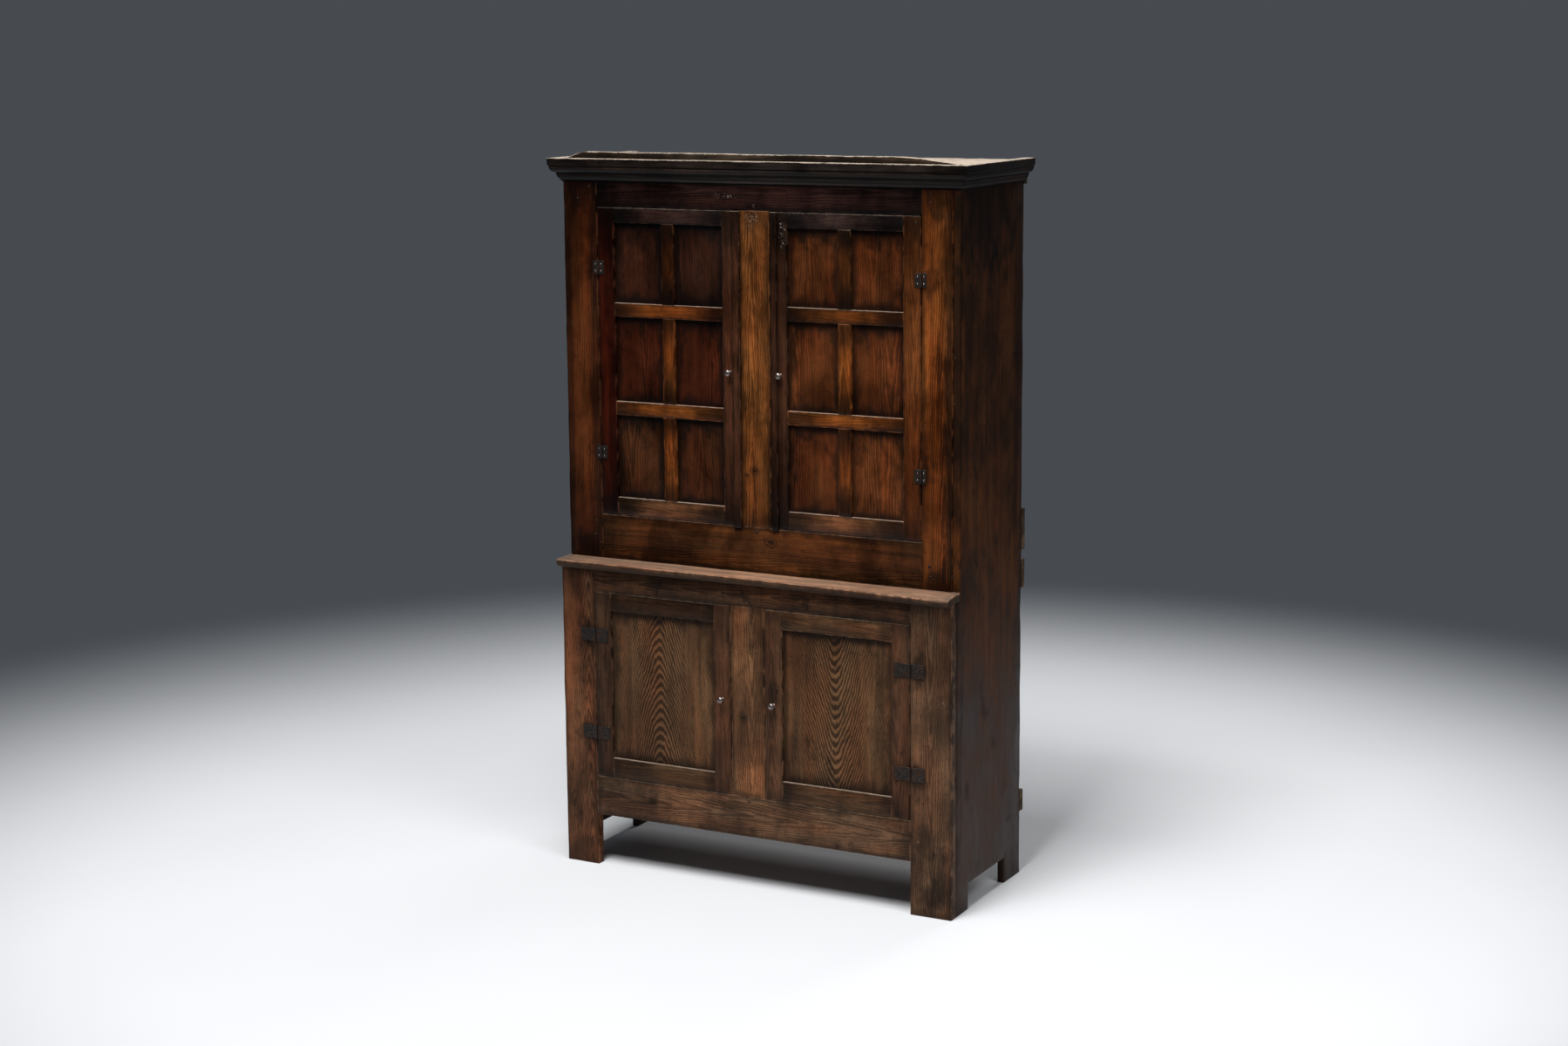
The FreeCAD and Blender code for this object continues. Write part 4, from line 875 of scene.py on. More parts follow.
def slice_board(piece, axis, step):
    """Cuts a board into even slices across one axis, so that it can warp and wear."""

    def is_long(edge):
        span = edge.verts[1].co - edge.verts[0].co
        return abs(span[axis]) > step * 1.5 and abs(span[axis]) > span.length * 0.99

    with editing(piece):
        while choose(piece, "EDGE", is_long):
            form = bmesh.from_edit_mesh(piece.data)
            longest = max(edge.calc_length() for edge in form.edges if edge.select)
            cuts = min(MOST_CUTS, max(1, round(longest / step) - 1))
            bpy.ops.mesh.subdivide(number_cuts=cuts)


def bisect_board(piece, axis, places):
    """Cuts a board that isn't a plain block, at given places along one axis."""
    with editing(piece):
        for place in places:
            bpy.ops.mesh.select_all(action="SELECT")
            bpy.ops.mesh.bisect(plane_co=on_axis(axis, place), plane_no=on_axis(axis, 1.0))


def spaced(low, high, step):
    """Even places between two ends, about a step apart."""
    count = max(1, round((high - low) / step))
    return [low + (high - low) * k / count for k in range(1, count)]


def clouds(name, scale, depth=2, contrast=1.0, lift=1.0):
    """A soft random texture for warping and wear, shared by its name."""
    texture = bpy.data.textures.get(name)
    if texture is None:
        texture = bpy.data.textures.new(name, "CLOUDS")
        texture.noise_scale = scale
        texture.noise_depth = depth
        texture.contrast = contrast
        texture.intensity = lift
        texture.use_clamp = True
    return texture


def weight_corners(piece, name, weigh):
    """A vertex group whose weights come from each corner's place."""
    group = piece.vertex_groups.new(name=name)
    for corner in piece.data.vertices:
        weight = weigh(corner.co)
        if weight > 0:
            group.add([corner.index], min(1.0, weight), "REPLACE")
    return name


def fade(gap, width):
    """A weight of 1 where there is no gap, falling to 0 over a width."""
    return max(0.0, 1 - gap / width)


def near_arris(low, high, band):
    """Weighs a corner of a board by whether two of the board's faces meet close by."""
    def weigh(place):
        gaps = sorted(min(abs(place[k] - low[k]), abs(high[k] - place[k])) for k in range(3))
        return 1.0 if gaps[1] < band else 0.0
    return weigh


def warp(piece, axis, group="", middle=0.5, amount=None):
    """Lets a face rise and fall along one axis."""
    settings = sizes()
    displace(piece, group, settings.warp if amount is None else amount, middle, "XYZ"[axis],
             clouds("warp", settings.warp_length))


def chip(piece, group, amount=None):
    """Wears nicks into the corners of a group."""
    settings = sizes()
    displace(piece, group, settings.chip if amount is None else amount,
             texture=clouds("chip", settings.chip_length, 3, NICK_CONTRAST, NICK_LIFT))


def trim(piece, axis, limit, way):
    """Presses whatever wear has pushed beyond a plane back onto it."""
    with editing(piece):
        if choose(piece, "VERT", lambda corner: (corner.co[axis] - limit) * way > 0):
            bpy.ops.transform.resize(value=on_axis(axis, 0.0, 1.0),
                                     center_override=on_axis(axis, limit))


def random_heart(name, half_across):
    """Where a board's rings have their heart, how blunt their peaks are and how they climb."""
    rng = random.Random(name)
    return (rng.uniform(-0.9, 0.9) * half_across, rng.uniform(0.008, 0.02),
            rng.choice((-1, 1)) * rng.uniform(0.015, 0.06))


def write_attribute(piece, name, kind, field, values):
    """Stores figures at a mesh's corners, for the nodes of its material."""
    layer = piece.data.attributes.new(name, kind, "POINT")
    layer.data.foreach_set(field, values)


def mark_grain(piece, low, high, grain, face, wood, heart=None, sight=0.0):
    """Writes a board's colour and its own measure along, across and through it."""
    along, through = AXES[grain], AXES[face]
    across = 3 - along - through
    middle = (low + high) / 2
    half = (high - low) / 2
    heart = heart or random_heart(piece.name, half[across])
    chance = random.Random(piece.name + " chance").random()
    corners = [corner.co for corner in piece.data.vertices]
    count = len(corners)
    place = [(corner - middle)[k] for corner in corners for k in (along, across, through)]
    reach = (half[along] - sight, half[across] - sight, chance)
    cover = COVERED_END if grain == "z" else 0.0
    write_attribute(piece, "place", "FLOAT_VECTOR", "vector", place)
    write_attribute(piece, "reach", "FLOAT_VECTOR", "vector", reach * count)
    write_attribute(piece, "figure", "FLOAT_VECTOR", "vector", heart * count)
    write_attribute(piece, "lid", "FLOAT", "value", [high.z - c.z + cover for c in corners])
    write_attribute(piece, "wood", "FLOAT_COLOR", "color", opaque(wood) * count)


def finish_piece(piece, slot):
    """Smooths a board, and gives it its slot's material."""
    only(piece)
    bpy.ops.object.shade_smooth_by_angle(angle=SMOOTH_ANGLE)
    piece.vertex_groups.clear()
    piece.data.materials.clear()
    piece.data.materials.append(finish_for(slot))


def make_board(name, low, high, grain, face, wood, tenon=0.0, arris=None, step=None,
               heart=None, chips=None, pierce=None):
    """One board: squared, tenoned, its arrises rounded, then sliced, warped and worn."""
    settings = sizes()
    arris = settings.face_arris if arris is None else arris
    step = settings.slice if step is None else step
    along, through = AXES[grain], AXES[face]
    across = 3 - along - through
    low, high = low.copy(), high.copy()
    low[along] += tenon
    high[along] -= tenon
    piece = start_block(name, low, high)
    if tenon:
        add_tenons(piece, along, tenon, (high[through] - low[through]) * TENON_SHOULDER)
    ease(piece, arris)
    slice_board(piece, along, step)
    slice_board(piece, across, max(step * 2, (high[across] - low[across]) / 4))
    warp(piece, through)
    if chips != 0.0:
        chip(piece, weight_corners(piece, "arris", near_arris(low, high, arris * 1.3)), chips)
    if pierce:
        pierce(piece)
    mark_grain(piece, low, high, grain, face, wood, heart)
    return piece


def join_boards(name, pieces):
    bpy.ops.object.select_all(action="DESELECT")
    for piece in pieces:
        piece.select_set(True)
    bpy.context.view_layer.objects.active = pieces[0]
    if len(pieces) > 1:
        bpy.ops.object.join()
    pieces[0].name = name
    return pieces[0]


def place_piece(piece, slot, body, *nodes):
    """Finishes a piece, lets it ride on its body and hides the nodes that it stands for."""
    finish_piece(piece, slot)
    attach(piece, body)
    if nodes:
        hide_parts(*nodes)


def shaded(paint, amount):
    return tuple(channel * amount for channel in paint)


def join_nodes(node, pieces, slot, body):
    place_piece(join_boards(f"{node}_board", pieces), slot, body, node)


def fit_board(node, slot, body, grain, wood, face="y", **wear):
    """One board made to the box of the node that it stands for."""
    low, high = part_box(node)
    piece = make_board(f"{node}_board", low, high, grain, face, wood, **wear)
    place_piece(piece, slot, body, node)


# The pieces

class PieceOperator(bpy.types.Operator):
    """What the operators of all pieces share"""

    bl_options = {"REGISTER", "UNDO"}


LEDGE_BOTTOM = 0.818
# Front edges of the side planks above the ledge.
SIDE_STEPS = {"left_side": -0.1475, "right_side": UPPER_FACE}
# Front and back of the arch between a side's feet, and its height.
ARCH = {"left_side": (-0.1005, 0.1195), "right_side": (-0.1125, 0.1195)}
ARCH_HEIGHT = 0.068
# Distance between a side's slices up its height and across its depth.
SIDE_SLICES = (0.03, 0.04)
# Thickness of a side's outer skin, which warps, and how far, and of the arrises that chip.
SIDE_SKIN = 0.004
SIDE_WARP = 0.003
SIDE_ARRIS = 0.003
SIDE_HEART = (0.05, 0.02, 0.03)


class CUPBOARD_OT_sides(PieceOperator):
    """Two wide side planks, stepped back above the waist and arched into feet below"""

    bl_idname = "cupboard.sides"
    bl_label = "Side planks"

    def execute(self, context):
        for node, way in (("left_side", -1), ("right_side", 1)):
            self.make_side(node, way)
        return {"FINISHED"}

    def make_side(self, node, way):
        low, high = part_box(node)
        front = SIDE_STEPS[node]
        piece = start_block(f"{node}_plank", Vector((low.x, front, low.z)), high)
        bisect_board(piece, 2, [LEDGE_BOTTOM])
        with editing(piece):
            choose(piece, "FACE", lambda face: face.normal.y < -FACING
                   and face.calc_center_median().z < LEDGE_BOTTOM)
            bpy.ops.mesh.extrude_region_move(
                TRANSFORM_OT_translate={"value": (0, low.y - front, 0)})
        arch_low = Vector((low.x - OVERRUN, ARCH[node][0], low.z - OVERRUN))
        arch_high = Vector((high.x + OVERRUN, ARCH[node][1], ARCH_HEIGHT))
        cut_out(piece, start_block("arch_cutter", arch_low, arch_high))
        ease(piece, sizes().outer_arris)
        bisect_board(piece, 2, spaced(low.z, high.z, SIDE_SLICES[0]))
        bisect_board(piece, 1, spaced(low.y, high.y, SIDE_SLICES[1]))
        outer = way * max(abs(low.x), abs(high.x))
        skin = weight_corners(piece, "outer",
                              lambda place: float(abs(place.x - outer) < SIDE_SKIN))
        warp(piece, 0, skin, 1.0 if way > 0 else 0.0, SIDE_WARP)
        chip(piece, weight_corners(piece, "arris", near_arris(low, high, SIDE_ARRIS)))
        trim(piece, 0, outer, way)
        mark_grain(piece, low, high, "z", "x", colour("side"), SIDE_HEART)
        place_piece(piece, "side_oak", CASE, node)


# Heart, start and taper of the rings of those stiles where the photograph shows them.
STILE_HEARTS = {
    "lower_left_stile": (0.030, 0.012, 0.10),
    "lower_right_stile": (0.0, 0.012, -0.04),
    "upper_right_stile": (0.02, 0.012, 0.03),
}
# Width of the band in which a stile's outer edge has worn, and how deep the wear goes.
OUTER_WEAR = (0.02, 0.003)


class CUPBOARD_OT_face_frames(PieceOperator):
    """Stiles and rails of both face frames, tenoned together, with worn outer edges"""

    bl_idname = "cupboard.face_frames"
    bl_label = "Face frames"

    def execute(self, context):
        for stage in ("lower", "upper"):
            for part, grain, tenon in (("left_stile", "z", 0.0), ("right_stile", "z", 0.0),
                                       ("centre_stile", "z", CENTRE_STUB),
                                       ("bottom_rail", "x", FRAME_TENON),
                                       ("top_rail", "x", FRAME_TENON)):
                self.make_part(f"{stage}_{part}", grain, tenon, f"{stage}_frame_oak")
        return {"FINISHED"}

    def make_part(self, node, grain, tenon, slot):
        settings = sizes()
        low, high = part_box(node)
        outer = grain == "z" and not tenon
        piece = make_board(f"{node}_board", low, high, grain, "y", colour(node), tenon,
                           settings.outer_arris if outer else settings.face_arris,
                           heart=STILE_HEARTS.get(node))
        if outer:
            wide, deep = OUTER_WEAR
            edge = low.x if low.x < 0 else high.x
            group = weight_corners(piece, "outer", lambda place: fade(abs(place.x - edge), wide))
            warp(piece, 0, group, 0.0 if edge < 0 else 1.0, deep)
        place_piece(piece, slot, CASE, node)


NOTCH_INNER = 0.553
# The front edge's rounding above and below: width, segments and profile.
NOSING = {"above": (0.004, 2, 0.5), "below": (0.010, 4, 0.3)}
LEDGE_STEP = 0.008
LEDGE_SLICES = (0.007, 0.011, 0.017, 0.028, 0.045, 0.066)
LEDGE_RIM = 0.009
SPLINTER_LENGTH = 0.050
SPLINTER_LIFT = 1.75
# Depth and height of the band in which the ledge splinters, and in which it is nicked.
SPLINTERED = (0.016, 0.018)
NICKED = (0.010, 0.012)
NICK_DEPTH = 0.0030
# Where the droop starts and the width over which it grows, to the front and to the right.
DROOP_FRONT = (LOWER_FACE + 0.004, 0.028)
DROOP_RIGHT = (-0.05, 0.62)
DROOP_BEND = 1.6
# Thickness of the ledge's top that warps, and how far.
LEDGE_WARP = (0.004, 0.002)
LEDGE_HEART = (-0.20, 0.02, 0.02)


class CUPBOARD_OT_waist_ledge(PieceOperator):
    """The waist ledge, splintered along its front arris and drooping to the right"""

    bl_idname = "cupboard.waist_ledge"
    bl_label = "Waist ledge"

    def execute(self, context):
        settings = sizes()
        low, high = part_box("waist_ledge")
        piece = start_block("waist_ledge_board", low, high)
        self.round_nosing(piece, low, high)
        self.notch(piece, low, high)
        bisect_board(piece, 0, spaced(low.x, high.x, LEDGE_STEP))
        bisect_board(piece, 1, [low.y + depth for depth in LEDGE_SLICES])
        bisect_board(piece, 2, [high.z - LEDGE_RIM])
        splits = weight_corners(piece, "splits", self.near_rim(low, high, *SPLINTERED))
        displace(piece, splits, settings.ledge_split,
                 texture=clouds("splinters", SPLINTER_LENGTH, 4, NICK_CONTRAST, SPLINTER_LIFT))
        fine = weight_corners(piece, "fine", self.near_rim(low, high, *NICKED))
        chip(piece, fine, NICK_DEPTH)
        mark_grain(piece, low, high, "x", "z", colour("ledge"), LEDGE_HEART)
        droop = weight_corners(piece, "droop", self.droop)
        displace(piece, droop, -settings.ledge_droop, 0.0, "Z")
        thick, amount = LEDGE_WARP
        top = weight_corners(piece, "top", lambda place: float(
            place.z > high.z - thick and place.y < UPPER_FACE))
        warp(piece, 2, top, 1.0, amount)
        trim(piece, 1, low.y, -1)
        place_piece(piece, "ledge_oak", CASE, "waist_ledge")
        return {"FINISHED"}

    def round_nosing(self, piece, low, high):
        with editing(piece):
            for side, (offset, segments, profile) in NOSING.items():
                choose(piece, "EDGE", lambda edge: all(
                    v.co.y < low.y + MERGED
                    and (v.co.z > high.z - MERGED if side == "above" else v.co.z < low.z + MERGED)
                    for v in edge.verts))
                bpy.ops.mesh.bevel(offset=offset, segments=segments, profile=profile)

    def notch(self, piece, low, high):
        """Cuts the ledge round the side planks' front edges."""
        for node, way in (("left_side", -1), ("right_side", 1)):
            inner, outer = sorted((NOTCH_INNER * way, (high.x + OVERRUN) * way))
            notch_low = Vector((inner, SIDE_STEPS[node], low.z - OVERRUN))
            notch_high = Vector((outer, high.y + OVERRUN, high.z + OVERRUN))
            cut_out(piece, start_block("notch_cutter", notch_low, notch_high))

    def near_rim(self, low, high, deep, tall):
        return lambda place: fade(place.y - low.y, deep) * fade(high.z - place.z, tall)

    def droop(self, place):
        start, width = DROOP_FRONT
        left, reach = DROOP_RIGHT
        forward = max(0.0, min(1.0, (start - place.y) / width))
        return forward * max(0.0, (place.x - left) / reach) ** DROOP_BEND


def run_moulding(name, start, length_way, out_way, run):
    """Draws the cornice's section down its face, from a first fillet, and closes it behind."""
    along, out, up = Vector(length_way), Vector(out_way), Vector((0, 0, 1))
    points = [start + out * CORNICE_REACH * o + up * CORNICE_RISE * u for o, u in CORNICE_SECTION]
    points += [start.copy(), start + up * CORNICE_RISE]
    piece = add_form(name, bpy.ops.mesh.primitive_plane_add, size=1, location=(0, 0, 0))
    corners = [points[0], points[0] + along * run, points[1] + along * run, points[1]]
    order = sorted(piece.data.vertices, key=lambda v: math.atan2(v.co.y, v.co.x))
    for vertex, corner in zip(order, corners):
        vertex.co = corner

    def lies_at(edge, point):
        return all((v.co - point - along * (v.co - point).dot(along)).length < MERGED
                   for v in edge.verts)

    with editing(piece):
        for here, there in zip(points[1:], points[2:] + points[:1]):
            choose(piece, "EDGE", lambda edge: lies_at(edge, here))
            bpy.ops.mesh.extrude_region_move(TRANSFORM_OT_translate={"value": there - here})
        bpy.ops.mesh.select_all(action="SELECT")
        bpy.ops.mesh.remove_doubles(threshold=MERGED)
        choose(piece, "EDGE", lambda edge: edge.is_boundary)
        bpy.ops.mesh.edge_face_add()
        bpy.ops.mesh.select_all(action="SELECT")
        bpy.ops.mesh.normals_make_consistent(inside=False)
    return piece


def mitre(piece, corner, normal):
    """Cuts a length of moulding off along a mitre and closes the cut."""
    with editing(piece):
        bpy.ops.mesh.select_all(action="SELECT")
        bpy.ops.mesh.bisect(plane_co=corner, plane_no=normal, clear_outer=True, use_fill=True)


MOULDING_STEP = 0.010
# Height of the cornice's chipped rim, depth of its chips and their size.
CORNICE_CHIPS = (0.012, 0.0034, 0.030)
CORNICE_WARP = 0.0012


def wear_moulding(piece, low, high, axis):
    """Chips the rim of a length of moulding and lets its faces wander."""
    bisect_board(piece, axis, spaced(low[axis], high[axis], MOULDING_STEP))
    tall, deep, size = CORNICE_CHIPS
    rim = weight_corners(piece, "rim", lambda place: fade(high.z - place.z, tall))
    displace(piece, rim, deep, texture=clouds("rim", size, 3, NICK_CONTRAST, NICK_LIFT))
    body = weight_corners(piece, "all", lambda place: 1.0)
    displace(piece, body, CORNICE_WARP, 0.7, texture=clouds("warp", sizes().warp_length))


class CUPBOARD_OT_cornice(PieceOperator):
    """Three mitred lengths of dark cornice with painted groove shade and a chipped top edge, pale
    with dust and a painted highlight
    """

    bl_idname = "cupboard.cornice"
    bl_label = "Cornice"

    def execute(self, context):
        low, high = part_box("cornice_front")
        front = run_moulding("cornice_front_moulding", Vector((low.x, UPPER_FACE, CORNICE_LOW)),
                             (1, 0, 0), (0, -1, 0), high.x - low.x)
        for way in (-1, 1):
            mitre(front, (CASE_SIDE * way, UPPER_FACE, 0), (way, 1, 0))
        wear_moulding(front, low, high, 0)
        trim(front, 1, low.y, -1)
        mark_grain(front, low, high, "x", "y", colour("cornice"))
        place_piece(front, "cornice_oak", CASE, "cornice_front")
        lengths = []
        for way, (low, high) in zip((-1, 1), solids("cornice_returns")):
            start = Vector((CASE_SIDE * way, low.y, CORNICE_LOW))
            piece = run_moulding(f"cornice_return_{way + 1}", start, (0, 1, 0), (way, 0, 0),
                                 high.y - low.y)
            mitre(piece, (CASE_SIDE * way, UPPER_FACE, 0), (-way, -1, 0))
            wear_moulding(piece, low, high, 1)
            trim(piece, 0, low.x if way < 0 else high.x, way)
            mark_grain(piece, low, high, "y", "x", colour("cornice"))
            lengths.append(piece)
        join_nodes("cornice_returns", lengths, "cornice_oak", CASE)
        return {"FINISHED"}


# The upstand's top falls away to the left and to the right, and waves in between.
UPSTAND_SLOPES = (0.055, 0.16)
UPSTAND_BEND = 1.5
UPSTAND_FALL = 0.017
# Length and depth of the waves, and the height of the foot that they leave straight.
UPSTAND_WAVES = (0.09, 0.0022, 0.006)


class CUPBOARD_OT_top(PieceOperator):
    """The dusty top board and the worn upstand along its front"""

    bl_idname = "cupboard.top"
    bl_label = "Top board and upstand"

    def execute(self, context):
        fit_board("top_board", "cornice_oak", CASE, "x", colour("top"), "z", step=0.03)
        low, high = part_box("top_upstand")
        piece = make_board("top_upstand_board", low, high, "x", "y", colour("upstand"),
                           step=0.008, chips=0.003)
        left, right = UPSTAND_SLOPES
        span, depth, foot = UPSTAND_WAVES
        middle = (low.z + high.z) / 2
        fall = weight_corners(piece, "fall", lambda place: max(
            fade(place.x - low.x, left), fade(high.x - place.x, right)) ** UPSTAND_BEND
            * (place.z > middle))
        displace(piece, fall, -UPSTAND_FALL, 0.0, "Z")
        wavy = weight_corners(piece, "wavy", lambda place: float(place.z > low.z + foot))
        displace(piece, wavy, depth, 1.0, "Z", clouds("upstand", span, 3))
        place_piece(piece, "cornice_oak", CASE, "top_upstand")
        return {"FINISHED"}


# Each board's wood and how much lighter or darker it is. Muntins, mid rails and panels run from
# the left and then from the bottom.
UPPER_DOOR_WOOD = {
    "upper_left_door": {
        "hinge_stile": ("left_door_stile", 1.1),
        "closing_stile": ("closing_strip", 1.0),
        "closing_strip": ("closing_strip", 0.88),
        "top_rail": ("smoky_rail", 0.86),
        "bottom_rail": ("door_bottom_rail", 1.1),
        "mid_rails": (("golden_rail", 0.92), ("golden_rail", 0.62)),
        "muntins": (("golden_rail", 1.25), ("golden_rail", 0.70), ("golden_rail", 0.23)),
        "panels": (("olive_panel", 1.08), ("russet_panel", 1.03), ("smoky_panel", 1.0),
                   ("olive_panel", 0.95), ("russet_panel", 0.97), ("smoky_panel", 0.72)),
    },
    "upper_right_door": {
        "hinge_stile": ("right_door_stile", 1.0),
        "closing_stile": ("closing_strip", 0.55),
        "closing_strip": ("closing_strip", 0.48),
        "top_rail": ("smoky_rail", 1.0),
        "bottom_rail": ("door_bottom_rail", 0.8),
        "mid_rails": (("golden_rail", 1.25), ("golden_rail", 0.38)),
        "muntins": (("golden_rail", 0.50), ("golden_rail", 1.18), ("golden_rail", 0.24)),
        "panels": (("right_panel", 1.0), ("right_panel", 1.06), ("right_panel", 0.82),
                   ("right_panel", 1.70), ("right_panel", 0.93), ("right_panel", 0.88)),
    },
}
LOWER_DOOR_SHADES = {
    "lower_left_door": {"hinge_stile": 0.66, "closing_stile": 1.04, "bottom_rail": 0.82,
                        "top_rail": 0.42, "panel": 1.06},
    "lower_right_door": {"hinge_stile": 0.93, "closing_stile": 1.36, "bottom_rail": 1.0,
                         "top_rail": 1.42, "panel": 1.12},
}


def door_wood(door, part, k=None):
    """The colour of an upper door's board."""
    entry = UPPER_DOOR_WOOD[door][part]
    name, amount = entry if k is None else entry[k]
    return shaded(colour(name), amount)


class CUPBOARD_OT_upper_doors(PieceOperator):
    """Frames of the upper doors: stiles, rails, mid rails and muntins round six panels"""

    bl_idname = "cupboard.upper_doors"
    bl_label = "Upper door frames"

    def execute(self, context):
        for door in UPPER_DOORS:
            for part, grain, tenon in (("hinge_stile", "z", 0.0), ("closing_stile", "z", 0.0),
                                       ("top_rail", "x", DOOR_TENON),
                                       ("bottom_rail", "x", DOOR_TENON)):
                fit_board(f"{door}_{part}", "upper_door_oak", door, grain,
                          door_wood(door, part), tenon=tenon)
            for part, grain, tenon in (("mid_rails", "x", DOOR_TENON),
                                       ("muntins", "z", MUNTIN_STUB)):
                pieces = [make_board(f"{door}_{part}_{k}", low, high, grain, "y",
                                     door_wood(door, part, k), tenon)
                          for k, (low, high) in enumerate(solids(f"{door}_{part}"))]
                join_nodes(f"{door}_{part}", pieces, "upper_door_oak", door)
        return {"FINISHED"}


# The keyhole's place, its eye's radius and its slot's half width and ends.
KEYHOLE = (0.0785, 0.540)
EYE_RADIUS = 0.0028
EYE_RISE = 0.004
SLOT_HALF = 0.0012
SLOT_DROP = 0.006
KEYHOLE_DEPTH = 0.05
KEYED_STILE = "lower_right_door_closing_stile"


def cut_keyhole(piece):
    """A round eye with a slot below it."""
    x, z = KEYHOLE
    eye = add_form("keyhole_eye", bpy.ops.mesh.primitive_cylinder_add, vertices=20,
                   radius=EYE_RADIUS, depth=KEYHOLE_DEPTH * 2,
                   location=(x, LOWER_FACE, z + EYE_RISE), rotation=(math.pi / 2, 0, 0))
    slot = start_block("keyhole_slot",
                       Vector((x - SLOT_HALF, LOWER_FACE - KEYHOLE_DEPTH, z - SLOT_DROP)),
                       Vector((x + SLOT_HALF, LOWER_FACE + KEYHOLE_DEPTH, z + EYE_RISE)))
    cut_out(piece, eye)
    cut_out(piece, slot)


class CUPBOARD_OT_lower_doors(PieceOperator):
    """Frames of the lower doors, with the keyhole cut through the right one"""

    bl_idname = "cupboard.lower_doors"
    bl_label = "Lower door frames"

    def execute(self, context):
        stile, rail = colour("lower_door_stile"), colour("lower_door_rail")
        for door in LOWER_DOORS:
            for part, grain, wood, tenon in (("hinge_stile", "z", stile, 0.0),
                                             ("closing_stile", "z", stile, 0.0),
                                             ("bottom_rail", "x", rail, DOOR_TENON),
                                             ("top_rail", "x", rail, DOOR_TENON)):
                fit_board(f"{door}_{part}", "lower_door_oak", door, grain,
                          shaded(wood, LOWER_DOOR_SHADES[door][part]), tenon=tenon,
                          pierce=cut_keyhole if f"{door}_{part}" == KEYED_STILE else None)
        return {"FINISHED"}


# Heart, start and taper of the rings in the two lower panels.
LOWER_HEARTS = ((-0.012, 0.030, 0.25), (-0.006, 0.030, -0.25))
PANEL_STEP = 0.018
PANEL_WARP = 0.0012


class CUPBOARD_OT_panels(PieceOperator):
    """Panels of all four doors, the upper ones with a bevelled border"""

    bl_idname = "cupboard.panels"
    bl_label = "Door panels"

    def execute(self, context):
        for door in UPPER_DOORS:
            pieces = []
            for k, (low, high) in enumerate(solids(f"{door}_panels")):
                pieces.append(self.panel(f"{door}_panel_{k}", low, high,
                                         door_wood(door, "panels", k), True, None))
            join_nodes(f"{door}_panels", pieces, "upper_panel_oak", door)
        for door, heart in zip(LOWER_DOORS, LOWER_HEARTS):
            low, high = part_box(f"{door}_panel")
            wood = shaded(colour("lower_panel"), LOWER_DOOR_SHADES[door]["panel"])
            piece = self.panel(f"{door}_panel_board", low, high, wood, False, heart)
            place_piece(piece, "lower_panel_oak", door, f"{door}_panel")
        return {"FINISHED"}

    def panel(self, name, low, high, wood, fielded, heart):
        settings = sizes()
        rise = settings.field_rise if fielded else 0.0
        piece = start_block(name, low + Vector((0, rise, 0)), high)
        if fielded:
            with editing(piece):
                choose(piece, "FACE", lambda face: face.normal.y < -FACING)
                bpy.ops.mesh.inset(thickness=GROOVE + settings.field_margin, depth=0.0)
                bpy.ops.transform.translate(value=(0, -rise, 0))
        for axis in (0, 2):
            bisect_board(piece, axis, spaced(low[axis], high[axis], PANEL_STEP))
        warp(piece, 1, "", 0.3, PANEL_WARP)
        mark_grain(piece, low, high, "z", "y", wood, heart, sight=GROOVE)
        return piece


class CUPBOARD_OT_closing_strips(PieceOperator):
    """The strips that cover the gap beside each upper door's closing stile"""

    bl_idname = "cupboard.closing_strips"
    bl_label = "Closing strips"

    def execute(self, context):
        for door in UPPER_DOORS:
            fit_board(f"{door}_closing_strip", "upper_door_oak", door, "z",
                      door_wood(door, "closing_strip"), arris=0.0020)
        return {"FINISHED"}


def turned(name, section, centre, reach, radius, sides):
    """A turned form on an axis towards the front, drawn out of a disc through a section."""
    start = Vector(centre) - Vector((0, section[0][0] * reach, 0))
    piece = add_form(name, bpy.ops.mesh.primitive_circle_add, vertices=sides,
                     radius=section[0][1] * radius, fill_type="NGON", location=start,
                     rotation=(math.pi / 2, 0, 0))
    with editing(piece):
        bpy.ops.mesh.select_mode(type="FACE")
        bpy.ops.mesh.select_all(action="SELECT")
        for (depth, wide), (next_depth, next_wide) in zip(section, section[1:]):
            bpy.ops.mesh.extrude_region_move(
                TRANSFORM_OT_translate={"value": (0, -(next_depth - depth) * reach, 0)})
            factor = next_wide / wide
            at = (centre[0], centre[1] - next_depth * reach, centre[2])
            bpy.ops.transform.resize(value=(factor, 1, factor), center_override=at)
        bpy.ops.mesh.select_all(action="SELECT")
        bpy.ops.mesh.normals_make_consistent(inside=False)
    return piece


BAR_SIDES = 16
KNOB_SIDES = 28
SCREW_SIDES = 12
PEG_SIDES = 10
# Easing of a bar's ends, and the radius of a hinge's pin, as shares of the barrel's radius.
BAR_EASING = 0.16
PIN_SHARE = 0.45


def round_bar(name, low, high, radius):
    """An upright round bar with eased ends."""
    piece = add_form(name, bpy.ops.mesh.primitive_cylinder_add, vertices=BAR_SIDES,
                     radius=radius, depth=high.z - low.z, location=(low + high) / 2)
    ease(piece, radius * BAR_EASING, 1)
    return piece


LEAF_GAP = 0.0004
# A barrel under this radius goes with the thinner of the two plates.
SMALL_BARREL = 0.0038
PLATE_THICKNESS = (0.002, 0.0025)
PLATE_SLICE = 0.005
PLATE_CHIP = 0.0009
PLATE_ARRIS = 0.0005
# Screws across a leaf, from its middle in shares of its width, and up it in shares of its height.
NARROW_SCREWS = ((0.0, 0.24), (0.0, 0.76))
WIDE_SCREWS = ((-0.2, 0.24), (-0.2, 0.76), (0.24, 0.5))
WIDE_LEAF = 0.03
SCREW_SINK = 0.0004
SCREW_REACH = 0.0013


